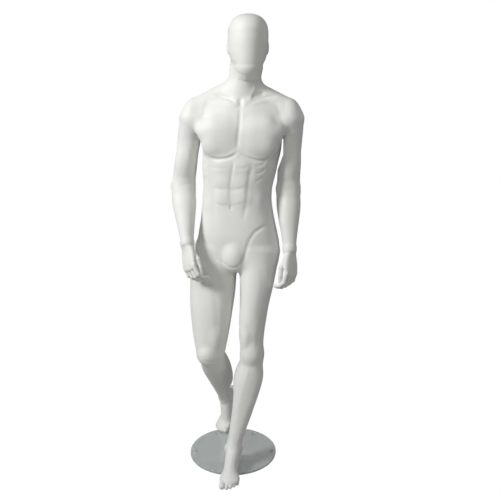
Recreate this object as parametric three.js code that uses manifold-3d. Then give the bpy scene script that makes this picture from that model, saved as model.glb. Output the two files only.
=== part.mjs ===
// Full body male display mannequin with an egg head, standing on a round glass base.
// Millimetres, +Z up. The figure faces -Y, and its left side is towards +X.
// The origin is the centre of the base, on the floor.
import * as THREE from 'three';
import { mergeVertices } from 'three/addons/utils/BufferGeometryUtils.js';
import Module from 'manifold-3d';

const wasm = await Module();
wasm.setup();

// Clearances
const touchGap = 0.3;
const seamGap = 0.5;
const cutOverrun = 8;

// Glass base
const glassRadius = 190;
const glassThickness = 9;
const glassEdgeBevel = 1;
const bumperHeight = 7;
const bumperRadius = 9;
const bumperInset = 22;
const bumperCount = 6;
const centrePadRadius = 16;

// Spigot that carries the figure, in front of the middle of the glass
const spigotX = 3;
const spigotY = -110;
const spigotRadius = 6;
const spigotHeight = 96;
const spigotTipBevel = 2;
const collarRadius = 14;
const collarHeight = 3;
const gasketThickness = 1.2;
const gasketRadius = 17;
const studRadiusBelow = 5;
const washerRadius = 16;
const washerThickness = 1.6;
const nutRadius = 8.5;
const nutHeight = 3;

// Skeleton of the standing leg, measured up from the glass
const frontAnkleX = 4;
const frontAnkleY = -122;
const ankleHeight = 84;
const shinLength = 417;
const thighLength = 435;
const frontShinSideLean = 10.6;
const frontShinBackLean = 7.5;
const frontThighSideLean = 4.4;
const frontThighBackLean = 7.6;
const frontFootTurn = -5;
const frontKneeTurn = -2;

// Pelvis, spine and head
const frontHipReach = 88;
const rearHipReach = 102;
const pelvisTurn = -11;
const pelvisRoll = 2;
const trunkLength = 612;
const spineSway = 20;
const chestWidth = 336;
const chestDepth = 212;
const shoulderSeamOffset = 166;
const neckLength = 165;
const neckWidth = 126;
const neckDepth = 118;
const headHeight = 226;
const headWidth = 160;
const headDepth = 206;
const headSideShift = 21;
const headForwardShift = 6;
const headTurn = 5;

// Rear leg
const rearAnkleX = -42;
const rearAnkleY = 206;
const rearToeClearance = 2;
const rearFootPitch = 60;
const rearFootTurn = -24;
const rearKneeTurn = -12;

// Limb sections
const thighWidth = 160;
const thighDepth = 180;
const rearThighWidth = 192;
const rearThighDepth = 172;
const shinWidth = 112;
const shinDepth = 124;
const footLength = 246;
const footWidth = 80;
const heelReach = 54;

// Arms and hands
const upperArmLength = 280;
const forearmLength = 252;
const upperArmWidth = 96;
const upperArmDepth = 100;
const handLength = 188;
const palmWidth = 84;
const palmThickness = 31;
const fingerRadius = 9.2;
const fingerBends = [24, 40, 30];
const leftArmAngles = {
  upperSide: -1.7, upperBack: 4, lowerSide: 1.2, lowerBack: -19, handSide: 3.5, handBack: -17, elbowTurn: 8,
  palmTurn: -36,
};
const rightArmAngles = {
  upperSide: -9, upperBack: 4, lowerSide: 6.5, lowerBack: -31, handSide: 7, handBack: -27, elbowTurn: -8,
  palmTurn: 36,
};

// Shells, closing boards and fittings
const wall = 4;
const boardThickness = 12;
const plateThickness = 3;
const largePlateRadius = 30;
const largeShankRadius = 8;
const largeLockLength = 34;
const underarmClearance = 2.5;
const shoulderPlateRadius = 24;
const shoulderShankRadius = 7;
const shoulderLockLength = 28;
const smallPlateRadius = 15;
const smallShankRadius = 4;
const smallLockLength = 16;
const lockHeight = 5;
const screwRadius = 2.5;
const screwHeadRadius = 5;
const screwHeadHeight = 2;
const screwLength = 10;
const socketTubeRadius = 9.5;
const socketFlangeRadius = 20;
const socketFlangeThickness = 2.5;

// Colours and finishes
const bodyPaint = new THREE.MeshStandardMaterial({ color: '#dcdbd5', roughness: 0.62, metalness: 0 });
const boardWood = new THREE.MeshStandardMaterial({ color: '#b99a6b', roughness: 0.8, metalness: 0 });
const zincSteel = new THREE.MeshStandardMaterial({ color: '#b9bcbf', roughness: 0.35, metalness: 1 });
const clearGlass = new THREE.MeshStandardMaterial({
  color: '#b8cac6', roughness: 0.05, metalness: 0, transparent: true, opacity: 0.45,
});
const bumperRubber = new THREE.MeshStandardMaterial({ color: '#c9cfcd', roughness: 0.5, metalness: 0 });
const gasketRubber = new THREE.MeshStandardMaterial({ color: '#2d2e30', roughness: 0.8, metalness: 0 });

// Small vector helpers
const at = (x, y, z) => new THREE.Vector3(x, y, z);
const radians = THREE.MathUtils.degToRad;
const along = (from, direction, distance) => from.clone().addScaledVector(direction, distance);
const mix = THREE.MathUtils.lerp;
const up = at(0, 0, 1);
const facing = (turn) => at(Math.sin(radians(turn)), -Math.cos(radians(turn)), 0);
const leaning = (side, back) => at(Math.tan(radians(side)), Math.tan(radians(back)), 1).normalize();

// A frame has an origin and three unit directions: ahead along the limb, front and side
function frameAlong(origin, axis, front) {
  const ahead = axis.clone().normalize();
  const towards = front.clone().addScaledVector(ahead, -front.dot(ahead)).normalize();
  const side = new THREE.Vector3().crossVectors(ahead, towards);
  return { origin, ahead, front: towards, side };
}

function inFrame(frame, ahead, front, side) {
  const point = along(frame.origin, frame.ahead, ahead);
  point.addScaledVector(frame.front, front);
  return point.addScaledVector(frame.side, side);
}

// Skeleton
const glassTop = bumperHeight + glassThickness;
const soleHeight = glassTop + touchGap;
const frontAnkle = at(frontAnkleX, frontAnkleY, soleHeight + ankleHeight);
const frontKnee = along(frontAnkle, leaning(frontShinSideLean, frontShinBackLean), shinLength);
const frontHip = along(frontKnee, leaning(frontThighSideLean, frontThighBackLean), thighLength);
const pelvisFront = facing(pelvisTurn);
const pelvisSide = at(-pelvisFront.y, pelvisFront.x, Math.tan(radians(pelvisRoll))).normalize();
const pelvis = along(frontHip, pelvisSide, -frontHipReach);
const rearHip = along(pelvis, pelvisSide, -rearHipReach);
const neckBase = at(pelvis.x + spineSway, pelvis.y + spineSway / 2, pelvis.z + trunkLength);

// A joint place between two others that both bones reach, bent towards the given side
function bentJoint(top, bottom, upperLength, lowerLength, towards) {
  const line = bottom.clone().sub(top);
  const span = line.length();
  const run = (upperLength ** 2 - lowerLength ** 2 + span ** 2) / (2 * span);
  const rise = Math.sqrt(Math.max(upperLength ** 2 - run ** 2, 0));
  const frame = frameAlong(top, line, towards);
  return inFrame(frame, run, rise, 0);
}

// A foot is drawn level, then pitched and turned about its ankle
function footFrame(ankle, turn, pitch) {
  const level = facing(turn);
  const ahead = level.clone().multiplyScalar(Math.cos(radians(pitch)));
  ahead.addScaledVector(up, -Math.sin(radians(pitch)));
  return frameAlong(ankle, ahead, up);
}

const toeReach = footLength - heelReach;
const ballShare = 0.66;
const ballRadius = ankleHeight * 0.2;
const rearBallDrop = ballRadius + ballShare * toeReach * Math.sin(radians(rearFootPitch))
  + (ankleHeight - ballRadius) * Math.cos(radians(rearFootPitch));
const rearAnkle = at(rearAnkleX, rearAnkleY, glassTop + rearToeClearance + rearBallDrop);
const rearKnee = bentJoint(rearHip, rearAnkle, thighLength, shinLength, facing(rearKneeTurn));
const frontFoot = footFrame(frontAnkle, frontFootTurn, 0);
const rearFoot = footFrame(rearAnkle, rearFootTurn, rearFootPitch);

// A smooth curve through table rows, read against their first column
function tableCurve(rows, column) {
  const last = rows.length - 1;
  const slopes = rows.map((row, i) => {
    const before = rows[Math.max(i - 1, 0)];
    const after = rows[Math.min(i + 1, last)];
    return (after[column] - before[column]) / (after[0] - before[0]);
  });
  return (place) => {
    if (place <= rows[0][0]) return rows[0][column];
    if (place >= rows[last][0]) return rows[last][column];
    let i = 0;
    while (place > rows[i + 1][0]) i += 1;
    const span = rows[i + 1][0] - rows[i][0];
    const x = (place - rows[i][0]) / span;
    const blend = x * x * (3 - 2 * x);
    const bend = x * (1 - x) * span;
    const value = mix(rows[i][column], rows[i + 1][column], blend);
    return value + bend * (slopes[i] * (1 - x) - slopes[i + 1] * x);
  };
}

// Body forms are signed distances, negative inside. A sectioned form has an oval section that
// changes along its frame; each table row holds place, half width, front depth and back depth
// as shares of the length, of half the width and of half the depth.
function sectioned(frame, length, width, depth, table, options = {}) {
  const power = options.power ?? 2.2;
  const capPower = options.capPower ?? 2;
  const capStart = options.capStart ?? width / 4;
  const capEnd = options.capEnd ?? width / 4;
  const first = table[0][0];
  const end = table[table.length - 1][0];
  const halfWidth = tableCurve(table, 1);
  const frontDepth = tableCurve(table, 2);
  const backDepth = tableCurve(table, 3);
  const scaled = (option) => {
    if (!option) return () => 0;
    const curve = tableCurve(option.shares, 1);
    return (t) => curve(t) * option.size;
  };
  const shift = scaled(options.shift);
  const twist = scaled(options.twist);
  const offset = new THREE.Vector3();
  const distance = (p) => {
    offset.subVectors(p, frame.origin);
    const run = offset.dot(frame.ahead) / length;
    const t = Math.min(Math.max(run, first), end);
    const over = (run - t) * length;
    const x = offset.dot(frame.side) - shift(t);
    const y = offset.dot(frame.front);
    const angle = twist(t);
    const u = x * Math.cos(angle) - y * Math.sin(angle);
    const v = y * Math.cos(angle) + x * Math.sin(angle);
    const half = halfWidth(t) * width / 2;
    const deep = (v > 0 ? frontDepth(t) : backDepth(t)) * depth / 2;
    const flat = (Math.abs(u / half) ** power + Math.abs(v / deep) ** power) ** (1 / power);
    if (over === 0) {
      return flat === 0 ? -Math.min(half, deep) : Math.hypot(u, v) * (1 - 1 / flat);
    }
    const capLength = over < 0 ? capStart : capEnd;
    const full = (flat ** capPower + Math.abs(over / capLength) ** capPower) ** (1 / capPower);
    return Math.hypot(u, v, over) * (1 - 1 / full);
  };
  const centre = along(frame.origin, frame.ahead, (first + end) * length / 2);
  const longest = (end - first) * length / 2 + Math.max(capStart, capEnd);
  const reach = Math.hypot(longest, Math.max(width, depth) * 0.75);
  return { distance, centre, reach };
}

// An egg, ball or flattened muscle, with its half sizes along the frame's directions
function muscle(frame, place, half, power = 2) {
  const centre = inFrame(frame, ...place);
  const offset = new THREE.Vector3();
  const distance = (p) => {
    offset.subVectors(p, centre);
    const a = Math.abs(offset.dot(frame.ahead) / half[0]) ** power;
    const b = Math.abs(offset.dot(frame.front) / half[1]) ** power;
    const c = Math.abs(offset.dot(frame.side) / half[2]) ** power;
    const outer = (a + b + c) ** (1 / power);
    return outer === 0 ? -Math.min(...half) : offset.length() * (1 - 1 / outer);
  };
  return { distance, centre, reach: Math.hypot(...half) };
}

// A round bar that tapers from one end to the other
function bar(from, to, fromRadius, toRadius) {
  const line = to.clone().sub(from);
  const lengthSquared = line.lengthSq();
  const offset = new THREE.Vector3();
  const distance = (p) => {
    offset.subVectors(p, from);
    const t = Math.min(Math.max(offset.dot(line) / lengthSquared, 0), 1);
    return offset.addScaledVector(line, -t).length() - mix(fromRadius, toRadius, t);
  };
  const centre = from.clone().lerp(to, 0.5);
  return { distance, centre, reach: line.length() / 2 + Math.max(fromRadius, toRadius) };
}

// Joins forms one after the other, each with its own blend radius
function joined(...pairs) {
  return (p) => {
    let total = Infinity;
    for (const [blend, form] of pairs) {
      const radius = typeof blend === 'function' ? blend(p) : blend;
      if (radius >= 0 && p.distanceTo(form.centre) - form.reach < total + radius) {
        const d = form.distance(p);
        const overlap = Math.max(radius - Math.abs(total - d), 0);
        const fillet = radius > 0 && total < Infinity ? overlap * overlap / (4 * radius) : 0;
        total = Math.min(total, d) - fillet;
      }
    }
    return total;
  };
}

// Trunk, from the pelvis up to the base of the neck
const chestHalf = chestWidth / 2;
const chestDeep = chestDepth / 2;
const trunkFrame = frameAlong(pelvis, up, facing(0));
const trunkShares = [
  [-0.05, 0.93, 0.80, 0.92],
  [0.05, 1.01, 0.89, 0.98],
  [0.12, 0.975, 0.92, 0.92],
  [0.2, 0.915, 0.90, 0.82],
  [0.29, 0.865, 0.86, 0.74],
  [0.37, 0.835, 0.85, 0.72],
  [0.45, 0.84, 0.87, 0.77],
  [0.54, 0.885, 0.92, 0.86],
  [0.63, 0.945, 0.95, 0.94],
  [0.73, 0.985, 0.96, 0.98],
  [0.82, 0.985, 0.93, 0.97],
  [0.9, 0.93, 0.78, 0.88],
  [0.96, 0.76, 0.6, 0.74],
  [1.01, 0.5, 0.42, 0.56],
];
const swayShares = [[-0.05, 0], [0.2, -0.1], [0.37, -0.2], [0.55, 0.3], [0.75, 0.85], [1.01, 1]];
const twistShares = [[-0.05, 1], [0.35, 1], [0.75, 0.5]];
const trunk = sectioned(trunkFrame, trunkLength, chestWidth, chestDepth, trunkShares, {
  power: 2.35, capStart: chestDepth / 4, capEnd: chestDepth / 4, shift: { shares: swayShares, size: spineSway }, twist: { shares: twistShares, size: radians(pelvisTurn) },
});

// Chest frame: ahead is up, front is the way the chest faces, side is the figure's left
const chestFrame = frameAlong(at(pelvis.x + spineSway * 0.8, pelvis.y, pelvis.z), up, facing(pelvisTurn / 2));
const pelvisFrame = frameAlong(pelvis, up, pelvisFront);
const backFrame = frameAlong(pelvis, up, facing(pelvisTurn));
const chestPlace = (height, front, side) => [height * trunkLength, front * chestDeep, side * chestHalf];
const onChest = (height, front, side) => inFrame(chestFrame, ...chestPlace(height, front, side));
const onPelvis = (height, front, side) => inFrame(pelvisFrame, ...chestPlace(height, front, side));
const torsoBlend = chestWidth / 12;

function chestMuscles(side) {
  return [
    [torsoBlend * 0.9, bar(onChest(0.9, 0.02, side * 0.3), onChest(0.885, 0, side * 1.1),
      chestDeep * 0.62, chestDeep * 0.52)],
    [torsoBlend, bar(onChest(1.062, -0.14, side * 0.24), onChest(0.954, -0.02, side * 1.05),
      chestDeep * 0.34, chestDeep * 0.33)],
    [torsoBlend * 0.5, muscle(chestFrame, chestPlace(0.785, 0.4, side * 0.48),
      [trunkLength * 0.128, chestDeep * 0.63, chestHalf * 0.54], 2.6)],
    [torsoBlend * 0.4, bar(onChest(0.975, 0.56, side * 0.1), onChest(0.992, 0.3, side * 0.85),
      chestDeep * 0.09, chestDeep * 0.09)],
    [torsoBlend, muscle(chestFrame, chestPlace(0.8, -0.76, side * 0.42),
      [trunkLength * 0.13, chestDeep * 0.24, chestHalf * 0.4])],
    [torsoBlend, muscle(chestFrame, chestPlace(0.72, -0.3, side * 0.7),
      [trunkLength * 0.13, chestDeep * 0.6, chestHalf * 0.24])],
  ];
}

// Two columns of belly muscles, three to a column
function bellyMuscles(side) {
  const heights = [0.58, 0.485, 0.39];
  return heights.map((height) => [torsoBlend * 0.3, muscle(backFrame,
    chestPlace(height, 0.63, side * 0.2 - 0.02), [trunkLength * 0.045, chestDeep * 0.28, chestHalf * 0.2])]);
}

function gluteMuscle(side) {
  return [torsoBlend * 0.8, muscle(pelvisFrame, chestPlace(-0.005, -0.58, side * 0.48),
    [trunkLength * 0.135, chestDeep * 0.5, chestHalf * 0.48])];
}

const groinBulge = [torsoBlend, muscle(pelvisFrame, chestPlace(-0.015, 0.64, 0),
  [trunkLength * 0.1, chestDeep * 0.4, chestHalf * 0.27])];

// Neck and head
const neckTop = at(neckBase.x + headSideShift * 0.9, neckBase.y - headForwardShift, neckBase.z + neckLength);
const neckRoot = at(neckBase.x, neckBase.y, neckBase.z);
const neckFrame = frameAlong(neckRoot, neckTop.clone().sub(neckRoot), facing(0));
const neckShares = [
  [-0.35, 1.0, 0.95, 1.0],
  [0.2, 1.02, 0.98, 1.02],
  [0.5, 0.98, 0.96, 1.0],
  [0.8, 0.99, 0.98, 1.06],
  [1.1, 1.02, 0.9, 1.1],
];
const neck = sectioned(neckFrame, neckLength, neckWidth, neckDepth, neckShares, {
  power: 2, capStart: neckWidth / 6, capEnd: neckWidth / 6,
});
const chinHeightShare = 0.157;
const headRoot = at(neckBase.x + headSideShift, neckBase.y - headForwardShift - neckDepth / 8,
  neckBase.z + trunkLength * chinHeightShare);
const headFrame = frameAlong(headRoot, up, facing(headTurn));
const headShares = [
  [0.11, 0.72, 0.8, 0.4],
  [0.2, 0.84, 0.895, 0.56],
  [0.3, 0.905, 0.955, 0.76],
  [0.4, 0.955, 0.985, 0.9],
  [0.5, 0.985, 1.0, 0.97],
  [0.58, 1.0, 1.0, 1.0],
  [0.64, 1.0, 0.985, 1.0],
];
const head = sectioned(headFrame, headHeight, headWidth, headDepth, headShares, {
  power: 2.08, capPower: 2.25, capStart: headHeight * 0.11, capEnd: headHeight * 0.36,
});

function ear(side) {
  return muscle(headFrame, [headHeight * 0.44, -headDepth * 0.05, side * headWidth * 0.475],
    [headHeight * 0.12, headDepth * 0.07, headWidth * 0.05]);
}

function neckCord(side) {
  return [torsoBlend * 0.3, bar(inFrame(neckFrame, neckLength * 0.75, -neckDepth * 0.08, side * neckWidth * 0.4),
    onChest(0.985, 0.52, side * 0.1), neckDepth * 0.1, neckDepth * 0.07)];
}

// Shoulders and arms. The seam of each arm is upright, just outside the armpit.
const shoulderHeightShare = 0.875;
const armpitHeight = onChest(0.805, 0, 0).z;
const armSides = {
  left: { side: 1, reachShare: 1.165, ...leftArmAngles },
  right: { side: -1, reachShare: 1.195, ...rightArmAngles },
};

const upperArmShares = [
  [0, 0.92, 1.02, 1.0],
  [0.12, 0.98, 1.04, 1.02],
  [0.3, 0.95, 0.98, 0.96],
  [0.5, 0.9, 1.0, 0.96],
  [0.7, 0.94, 0.96, 0.92],
  [0.9, 1.03, 0.84, 0.86],
  [1.0, 1.04, 0.8, 0.84],
];
const forearmShares = [
  [0, 1.05, 0.8, 0.84],
  [0.12, 1.08, 0.9, 0.84],
  [0.3, 1.0, 0.9, 0.82],
  [0.5, 0.86, 0.8, 0.74],
  [0.7, 0.7, 0.68, 0.64],
  [0.88, 0.57, 0.6, 0.58],
  [1.0, 0.53, 0.58, 0.56],
];

const downward = (side, back) => at(Math.tan(radians(side)), Math.tan(radians(back)), -1).normalize();

function makeArm(spec) {
  const { side } = spec;
  const top = onChest(shoulderHeightShare, -0.05, side * spec.reachShare);
  const elbow = along(top, downward(spec.upperSide, spec.upperBack), upperArmLength);
  const wrist = along(elbow, downward(spec.lowerSide, spec.lowerBack), forearmLength);
  const upper = frameAlong(top, elbow.clone().sub(top), facing(spec.elbowTurn));
  const lower = frameAlong(elbow, wrist.clone().sub(elbow), facing(spec.elbowTurn));
  const hand = frameAlong(wrist, downward(spec.handSide, spec.handBack), facing(spec.palmTurn));
  const armBlend = upperArmWidth / 3;
  const forms = [
    [0, sectioned(upper, upperArmLength, upperArmWidth, upperArmDepth, upperArmShares)],
    [armBlend * 0.3, sectioned(lower, forearmLength, upperArmWidth, upperArmDepth, forearmShares,
      { capStart: upperArmWidth / 4, capEnd: upperArmWidth / 8 })],
    [armBlend * 0.6, muscle(chestFrame, chestPlace(0.868, -0.03, side * spec.reachShare),
      [upperArmLength * 0.25, chestDeep * 0.53, upperArmWidth * 0.45])],
    [armBlend * 0.5, muscle(upper, [upperArmLength * 0.6, upperArmDepth * 0.2, 0],
      [upperArmLength * 0.26, upperArmDepth * 0.33, upperArmWidth * 0.38])],
  ];
  return { spec, top, elbow, wrist, upper, lower, hand, forms };
}

const arms = { left: makeArm(armSides.left), right: makeArm(armSides.right) };
const armpitBlend = (radius) => (p) => (p.z < armpitHeight ? -1
  : radius * Math.min((p.z - armpitHeight) / (chestDeep / 3), 1));

const torsoForms = [
  [0, trunk],
  ...chestMuscles(-1),
  ...chestMuscles(1),
  ...bellyMuscles(-1),
  ...bellyMuscles(1),
];
const shoulderForms = (arm) => arm.forms.map(([, form]) => [armpitBlend(torsoBlend), form]);
const upperBody = joined(...torsoForms, [torsoBlend, neck], neckCord(-1), neckCord(1),
  ...shoulderForms(arms.left), ...shoulderForms(arms.right));
const wholeUpperBody = { distance: upperBody, centre: neckRoot, reach: Infinity };
const headBody = joined([0, wholeUpperBody], [headWidth / 14, head], [headWidth / 40, ear(-1)],
  [headWidth / 40, ear(1)]);

// Hands. Ahead is towards the fingertips, front is the thumb side, and the palm faces the body.
// Each finger row holds its place across the palm, its length and radius, as shares.
const fingerShares = [
  [0.38, 0.92, 1.0],
  [0.13, 1.0, 1.03],
  [-0.12, 0.94, 0.98],
  [-0.36, 0.76, 0.86],
];
const phalanxShares = [0.46, 0.3, 0.24];
const palmShare = 0.5;
function fingerJoints(hand, inward, row) {
  const palmLength = handLength * palmShare;
  const reach = (handLength - palmLength) * row[1];
  const joints = [inFrame(hand, palmLength * (0.9 + row[1] * 0.08), row[0] * palmWidth, 0)];
  let bend = 0;
  phalanxShares.forEach((share, i) => {
    bend += radians(fingerBends[i]);
    const direction = hand.ahead.clone().multiplyScalar(Math.cos(bend));
    direction.addScaledVector(hand.side, inward * Math.sin(bend));
    joints.push(along(joints[i], direction, reach * share));
  });
  return joints;
}

const thumbShares = [[0.2, 0.1, 0.07], [0.17, 0.0, 0.04], [0.13, -0.02, 0.03]];

function thumbJoints(hand, inward) {
  const joints = [inFrame(hand, handLength * 0.16, palmWidth * 0.22, inward * palmThickness * 0.2)];
  thumbShares.forEach(([ahead, front, side], i) => {
    const next = along(joints[i], hand.ahead, handLength * ahead);
    next.addScaledVector(hand.front, handLength * front);
    joints.push(next.addScaledVector(hand.side, inward * handLength * side));
  });
  return joints;
}

const palmShares = [
  [-0.12, 0.67, 1.56, 1.56],
  [0.08, 0.7, 1.4, 1.4],
  [0.3, 0.86, 1.05, 1.1],
  [0.6, 0.98, 0.98, 1.0],
  [0.9, 0.96, 0.86, 0.82],
  [1.0, 0.9, 0.7, 0.7],
];

function makeHand(arm) {
  const inward = arm.spec.side;
  const { origin, ahead, front, side } = arm.hand;
  const palmFrame = { origin, ahead, front: side, side: front };
  const palm = sectioned(palmFrame, handLength * palmShare, palmWidth, palmThickness, palmShares,
    { power: 2.3, capStart: palmThickness / 2, capEnd: palmThickness / 2 });
  const fingers = fingerShares.map((row) => ({
    joints: fingerJoints(arm.hand, inward, row),
    radius: fingerRadius * row[2],
  }));
  fingers.push({ joints: thumbJoints(arm.hand, inward), radius: fingerRadius * 1.12 });
  return { palm, palmFrame, fingers };
}

const hands = { left: makeHand(arms.left), right: makeHand(arms.right) };
const onlyAbove = (height) => ([radius, form]) => [(p) => (p.z > height ? radius : -1), form];

function armBody(name) {
  const trunkForms = [...torsoForms, [torsoBlend, neck]].map(onlyAbove(armpitHeight));
  const armForms = arms[name].forms.map(([radius, form], i) => [
    i === 0 ? (p) => Math.max(armpitBlend(torsoBlend)(p), 0) : radius, form]);
  return joined(...trunkForms, ...armForms, [upperArmWidth / 8, hands[name].palm]);
}

// Legs
const frontThighShares = [
  [0, 1.02, 0.98, 1.02],
  [0.12, 0.98, 1.0, 1.04],
  [0.3, 0.88, 1.02, 1.0],
  [0.5, 0.76, 0.98, 0.9],
  [0.7, 0.69, 0.88, 0.8],
  [0.88, 0.645, 0.75, 0.72],
  [1.0, 0.625, 0.7, 0.7],
];
const rearThighShares = [
  [0, 0.96, 0.98, 1.04],
  [0.2, 0.99, 1.0, 1.02],
  [0.4, 0.98, 0.98, 0.96],
  [0.6, 0.9, 0.94, 0.88],
  [0.8, 0.78, 0.84, 0.82],
  [0.93, 0.69, 0.77, 0.78],
  [1.0, 0.65, 0.74, 0.76],
];
const shinShares = [
  [0, 0.9, 0.98, 0.98],
  [0.1, 0.9, 0.86, 1.0],
  [0.24, 1.0, 0.8, 1.14],
  [0.4, 0.94, 0.72, 1.1],
  [0.58, 0.79, 0.64, 0.86],
  [0.76, 0.64, 0.56, 0.66],
  [0.9, 0.55, 0.54, 0.64],
  [1.0, 0.56, 0.56, 0.66],
];
const frontShinBowShares = [
  [0, -0.04], [0.09, -0.08], [0.18, -0.11], [0.3, -0.1], [0.5, -0.08], [0.68, -0.06], [0.85, -0.02], [1, 0],
];
const rearShinBowShares = [[0, -0.01], [0.2, -0.01], [0.4, 0], [0.7, 0.01], [1, 0]];
const frontThighBowShares = [[0, 0], [0.3, 0], [0.6, 0.03], [0.8, 0.03], [1, -0.02]];
const rearThighBowShares = [[0, 0], [0.3, 0], [0.6, 0.01], [1, -0.01]];
// Each toe row holds its place across the foot from the inner edge, its reach, length and radius
const toeShares = [
  [0.34, 1.0, 0.17, 0.155],
  [0.1, 0.985, 0.13, 0.105],
  [-0.08, 0.945, 0.12, 0.1],
  [-0.245, 0.885, 0.11, 0.095],
  [-0.4, 0.815, 0.1, 0.095],
];

function makeFoot(frame, inner, toeLift) {
  const place = (ahead, height, side) => [ahead * toeReach, (height - 1) * ankleHeight, inner * side * footWidth];
  const spot = (...args) => inFrame(frame, ...place(...args));
  const sole = { side: footWidth / 2, tall: ankleHeight };
  const ball = inFrame(frame, ballShare * toeReach, ballRadius - ankleHeight, 0);
  const lift = radians(toeLift);
  const toeAhead = frame.ahead.clone().multiplyScalar(Math.cos(lift)).addScaledVector(frame.front, Math.sin(lift));
  const toeFrame = frameAlong(ball, toeAhead, frame.front);
  const toeSpot = (ahead, height, side) => inFrame(toeFrame,
    (ahead - ballShare) * toeReach, height * ankleHeight - ballRadius, inner * side * footWidth);
  const solid = [
    [0, muscle(frame, place(-0.07, 0.37, 0), [heelReach * 0.75, sole.tall * 0.4, sole.side * 0.78])],
    [footWidth / 4, bar(spot(0.03, 0.85, 0), spot(0.6, 0.3, 0.1), sole.side * 0.76, sole.side * 0.52)],
    [footWidth / 5, bar(spot(0.0, 0.36, 0), spot(0.62, 0.24, 0), sole.side * 0.72, sole.side * 0.56)],
    [footWidth / 5, muscle(frame, place(0.64, 0.2, 0.02), [toeReach * 0.22, sole.tall * 0.26, sole.side * 0.98])],
    [footWidth / 6, muscle(toeFrame, [toeReach * 0.07, 0, 0], [toeReach * 0.16, ballRadius * 1.05, sole.side * 0.96])],
    [footWidth / 12, muscle(frame, place(0.02, 0.92, 0.42), [sole.side * 0.3, sole.side * 0.36, sole.side * 0.2])],
    [footWidth / 12, muscle(frame, place(-0.05, 0.84, -0.42), [sole.side * 0.3, sole.side * 0.34, sole.side * 0.2])],
  ];
  const toes = toeShares.map(([side, reach, length, radius]) => ({
    tip: toeSpot(reach - radius * footWidth / toeReach, radius * 0.95 * footWidth / ankleHeight, side),
    root: toeSpot(reach - length * 1.6, 0.2, side * 0.94),
    radius: radius * footWidth,
  }));
  return { frame, toeFrame, ball, inner, solid, toes };
}

function makeLeg(spec) {
  const { hip, knee, ankle, foot, front } = spec;
  const upper = frameAlong(hip, knee.clone().sub(hip), front);
  const lower = frameAlong(knee, ankle.clone().sub(knee), front);
  const legBlend = thighWidth / 4;
  const forms = [
    [torsoBlend, sectioned(upper, thighLength, spec.width, spec.depth, spec.table, {
      capStart: spec.width / 4, capEnd: shinWidth / 3, shift: { shares: spec.thighBow, size: thighWidth },
    })],
    [legBlend * 0.3, sectioned(lower, shinLength, shinWidth, shinDepth, shinShares, {
      capStart: shinWidth / 3, capEnd: shinWidth / 6, shift: { shares: spec.shinBow, size: shinWidth },
    })],
    [legBlend * 0.3, muscle(lower, [-shinLength * 0.015, shinDepth * 0.3, 0],
      [shinLength * 0.095, shinDepth * 0.24, shinWidth * 0.26])],
    [legBlend * 0.4, muscle(upper, [thighLength * 0.8, spec.depth * 0.16, foot.inner * spec.width * 0.16],
      [thighLength * 0.15, spec.depth * 0.24, spec.width * 0.16])],
    [legBlend * 0.5, muscle(lower, [shinLength * 0.28, -shinDepth * 0.22, foot.inner * shinWidth * 0.18],
      [shinLength * 0.2, shinDepth * 0.3, shinWidth * 0.28])],
    ...foot.solid.map(([radius, form], i) => [i === 0 ? footWidth / 4 : radius, form]),
  ];
  return { ...spec, upper, lower, forms };
}

const legs = {
  front: makeLeg({
    hip: frontHip,
    knee: frontKnee,
    ankle: frontAnkle,
    front: facing(frontKneeTurn),
    foot: makeFoot(frontFoot, 1, 0),
    width: thighWidth,
    depth: thighDepth,
    table: frontThighShares,
    thighBow: frontThighBowShares,
    shinBow: frontShinBowShares,
  }),
  rear: makeLeg({
    hip: rearHip,
    knee: rearKnee,
    ankle: rearAnkle,
    front: facing(rearKneeTurn),
    foot: makeFoot(rearFoot, -1, rearFootPitch),
    width: rearThighWidth,
    depth: rearThighDepth,
    table: rearThighShares,
    thighBow: rearThighBowShares,
    shinBow: rearShinBowShares,
  }),
};
const crotchShare = -0.135;
const crotch = onPelvis(crotchShare, 0, 0);
const rampAbove = (height, ramp) => ([radius, form]) => [
  (p) => (p.z < height ? -1 : radius * Math.min((p.z - height) / ramp, 1)), form];
const lowerForms = [...torsoForms, gluteMuscle(-1), gluteMuscle(1), groinBulge];

function lowerBody(own, other) {
  const otherThigh = other.forms.slice(0, 1).map(rampAbove(crotch.z, torsoBlend));
  return joined(...lowerForms, ...own.forms, ...otherThigh);
}

// Rings: a ring has a centre, two directions across it, and a core that rays start from
function ring(centre, side, front, coreSide = 0, coreFront = 0, planes = []) {
  return { centre, side, front, coreSide, coreFront, planes };
}

// Finds how far each ray runs inside the body before it meets the surface or a limiting plane
function castRay(origin, direction, field, inset, limit) {
  const probe = new THREE.Vector3();
  const value = (distance) => field(probe.copy(origin).addScaledVector(direction, distance)) + inset;
  let near = 0;
  let far = chestDeep / 16;
  const stride = chestDeep / 16;
  while (far < limit && value(far) < 0) {
    near = far;
    far += stride;
  }
  if (far >= limit && value(limit) < 0) return limit;
  far = Math.min(far, limit);
  for (let i = 0; i < 14; i += 1) {
    const middle = (near + far) / 2;
    if (value(middle) < 0) near = middle;
    else far = middle;
  }
  return near;
}

function rayLimit(origin, direction, planes) {
  let limit = chestWidth * 2;
  let nearest = null;
  for (const plane of planes) {
    const speed = direction.dot(plane.normal);
    if (speed > 0) {
      const room = Math.max(plane.point.clone().sub(origin).dot(plane.normal) / speed, 0);
      if (room < limit) {
        limit = room;
        nearest = plane;
      }
    }
  }
  return { limit, plane: nearest };
}

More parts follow.
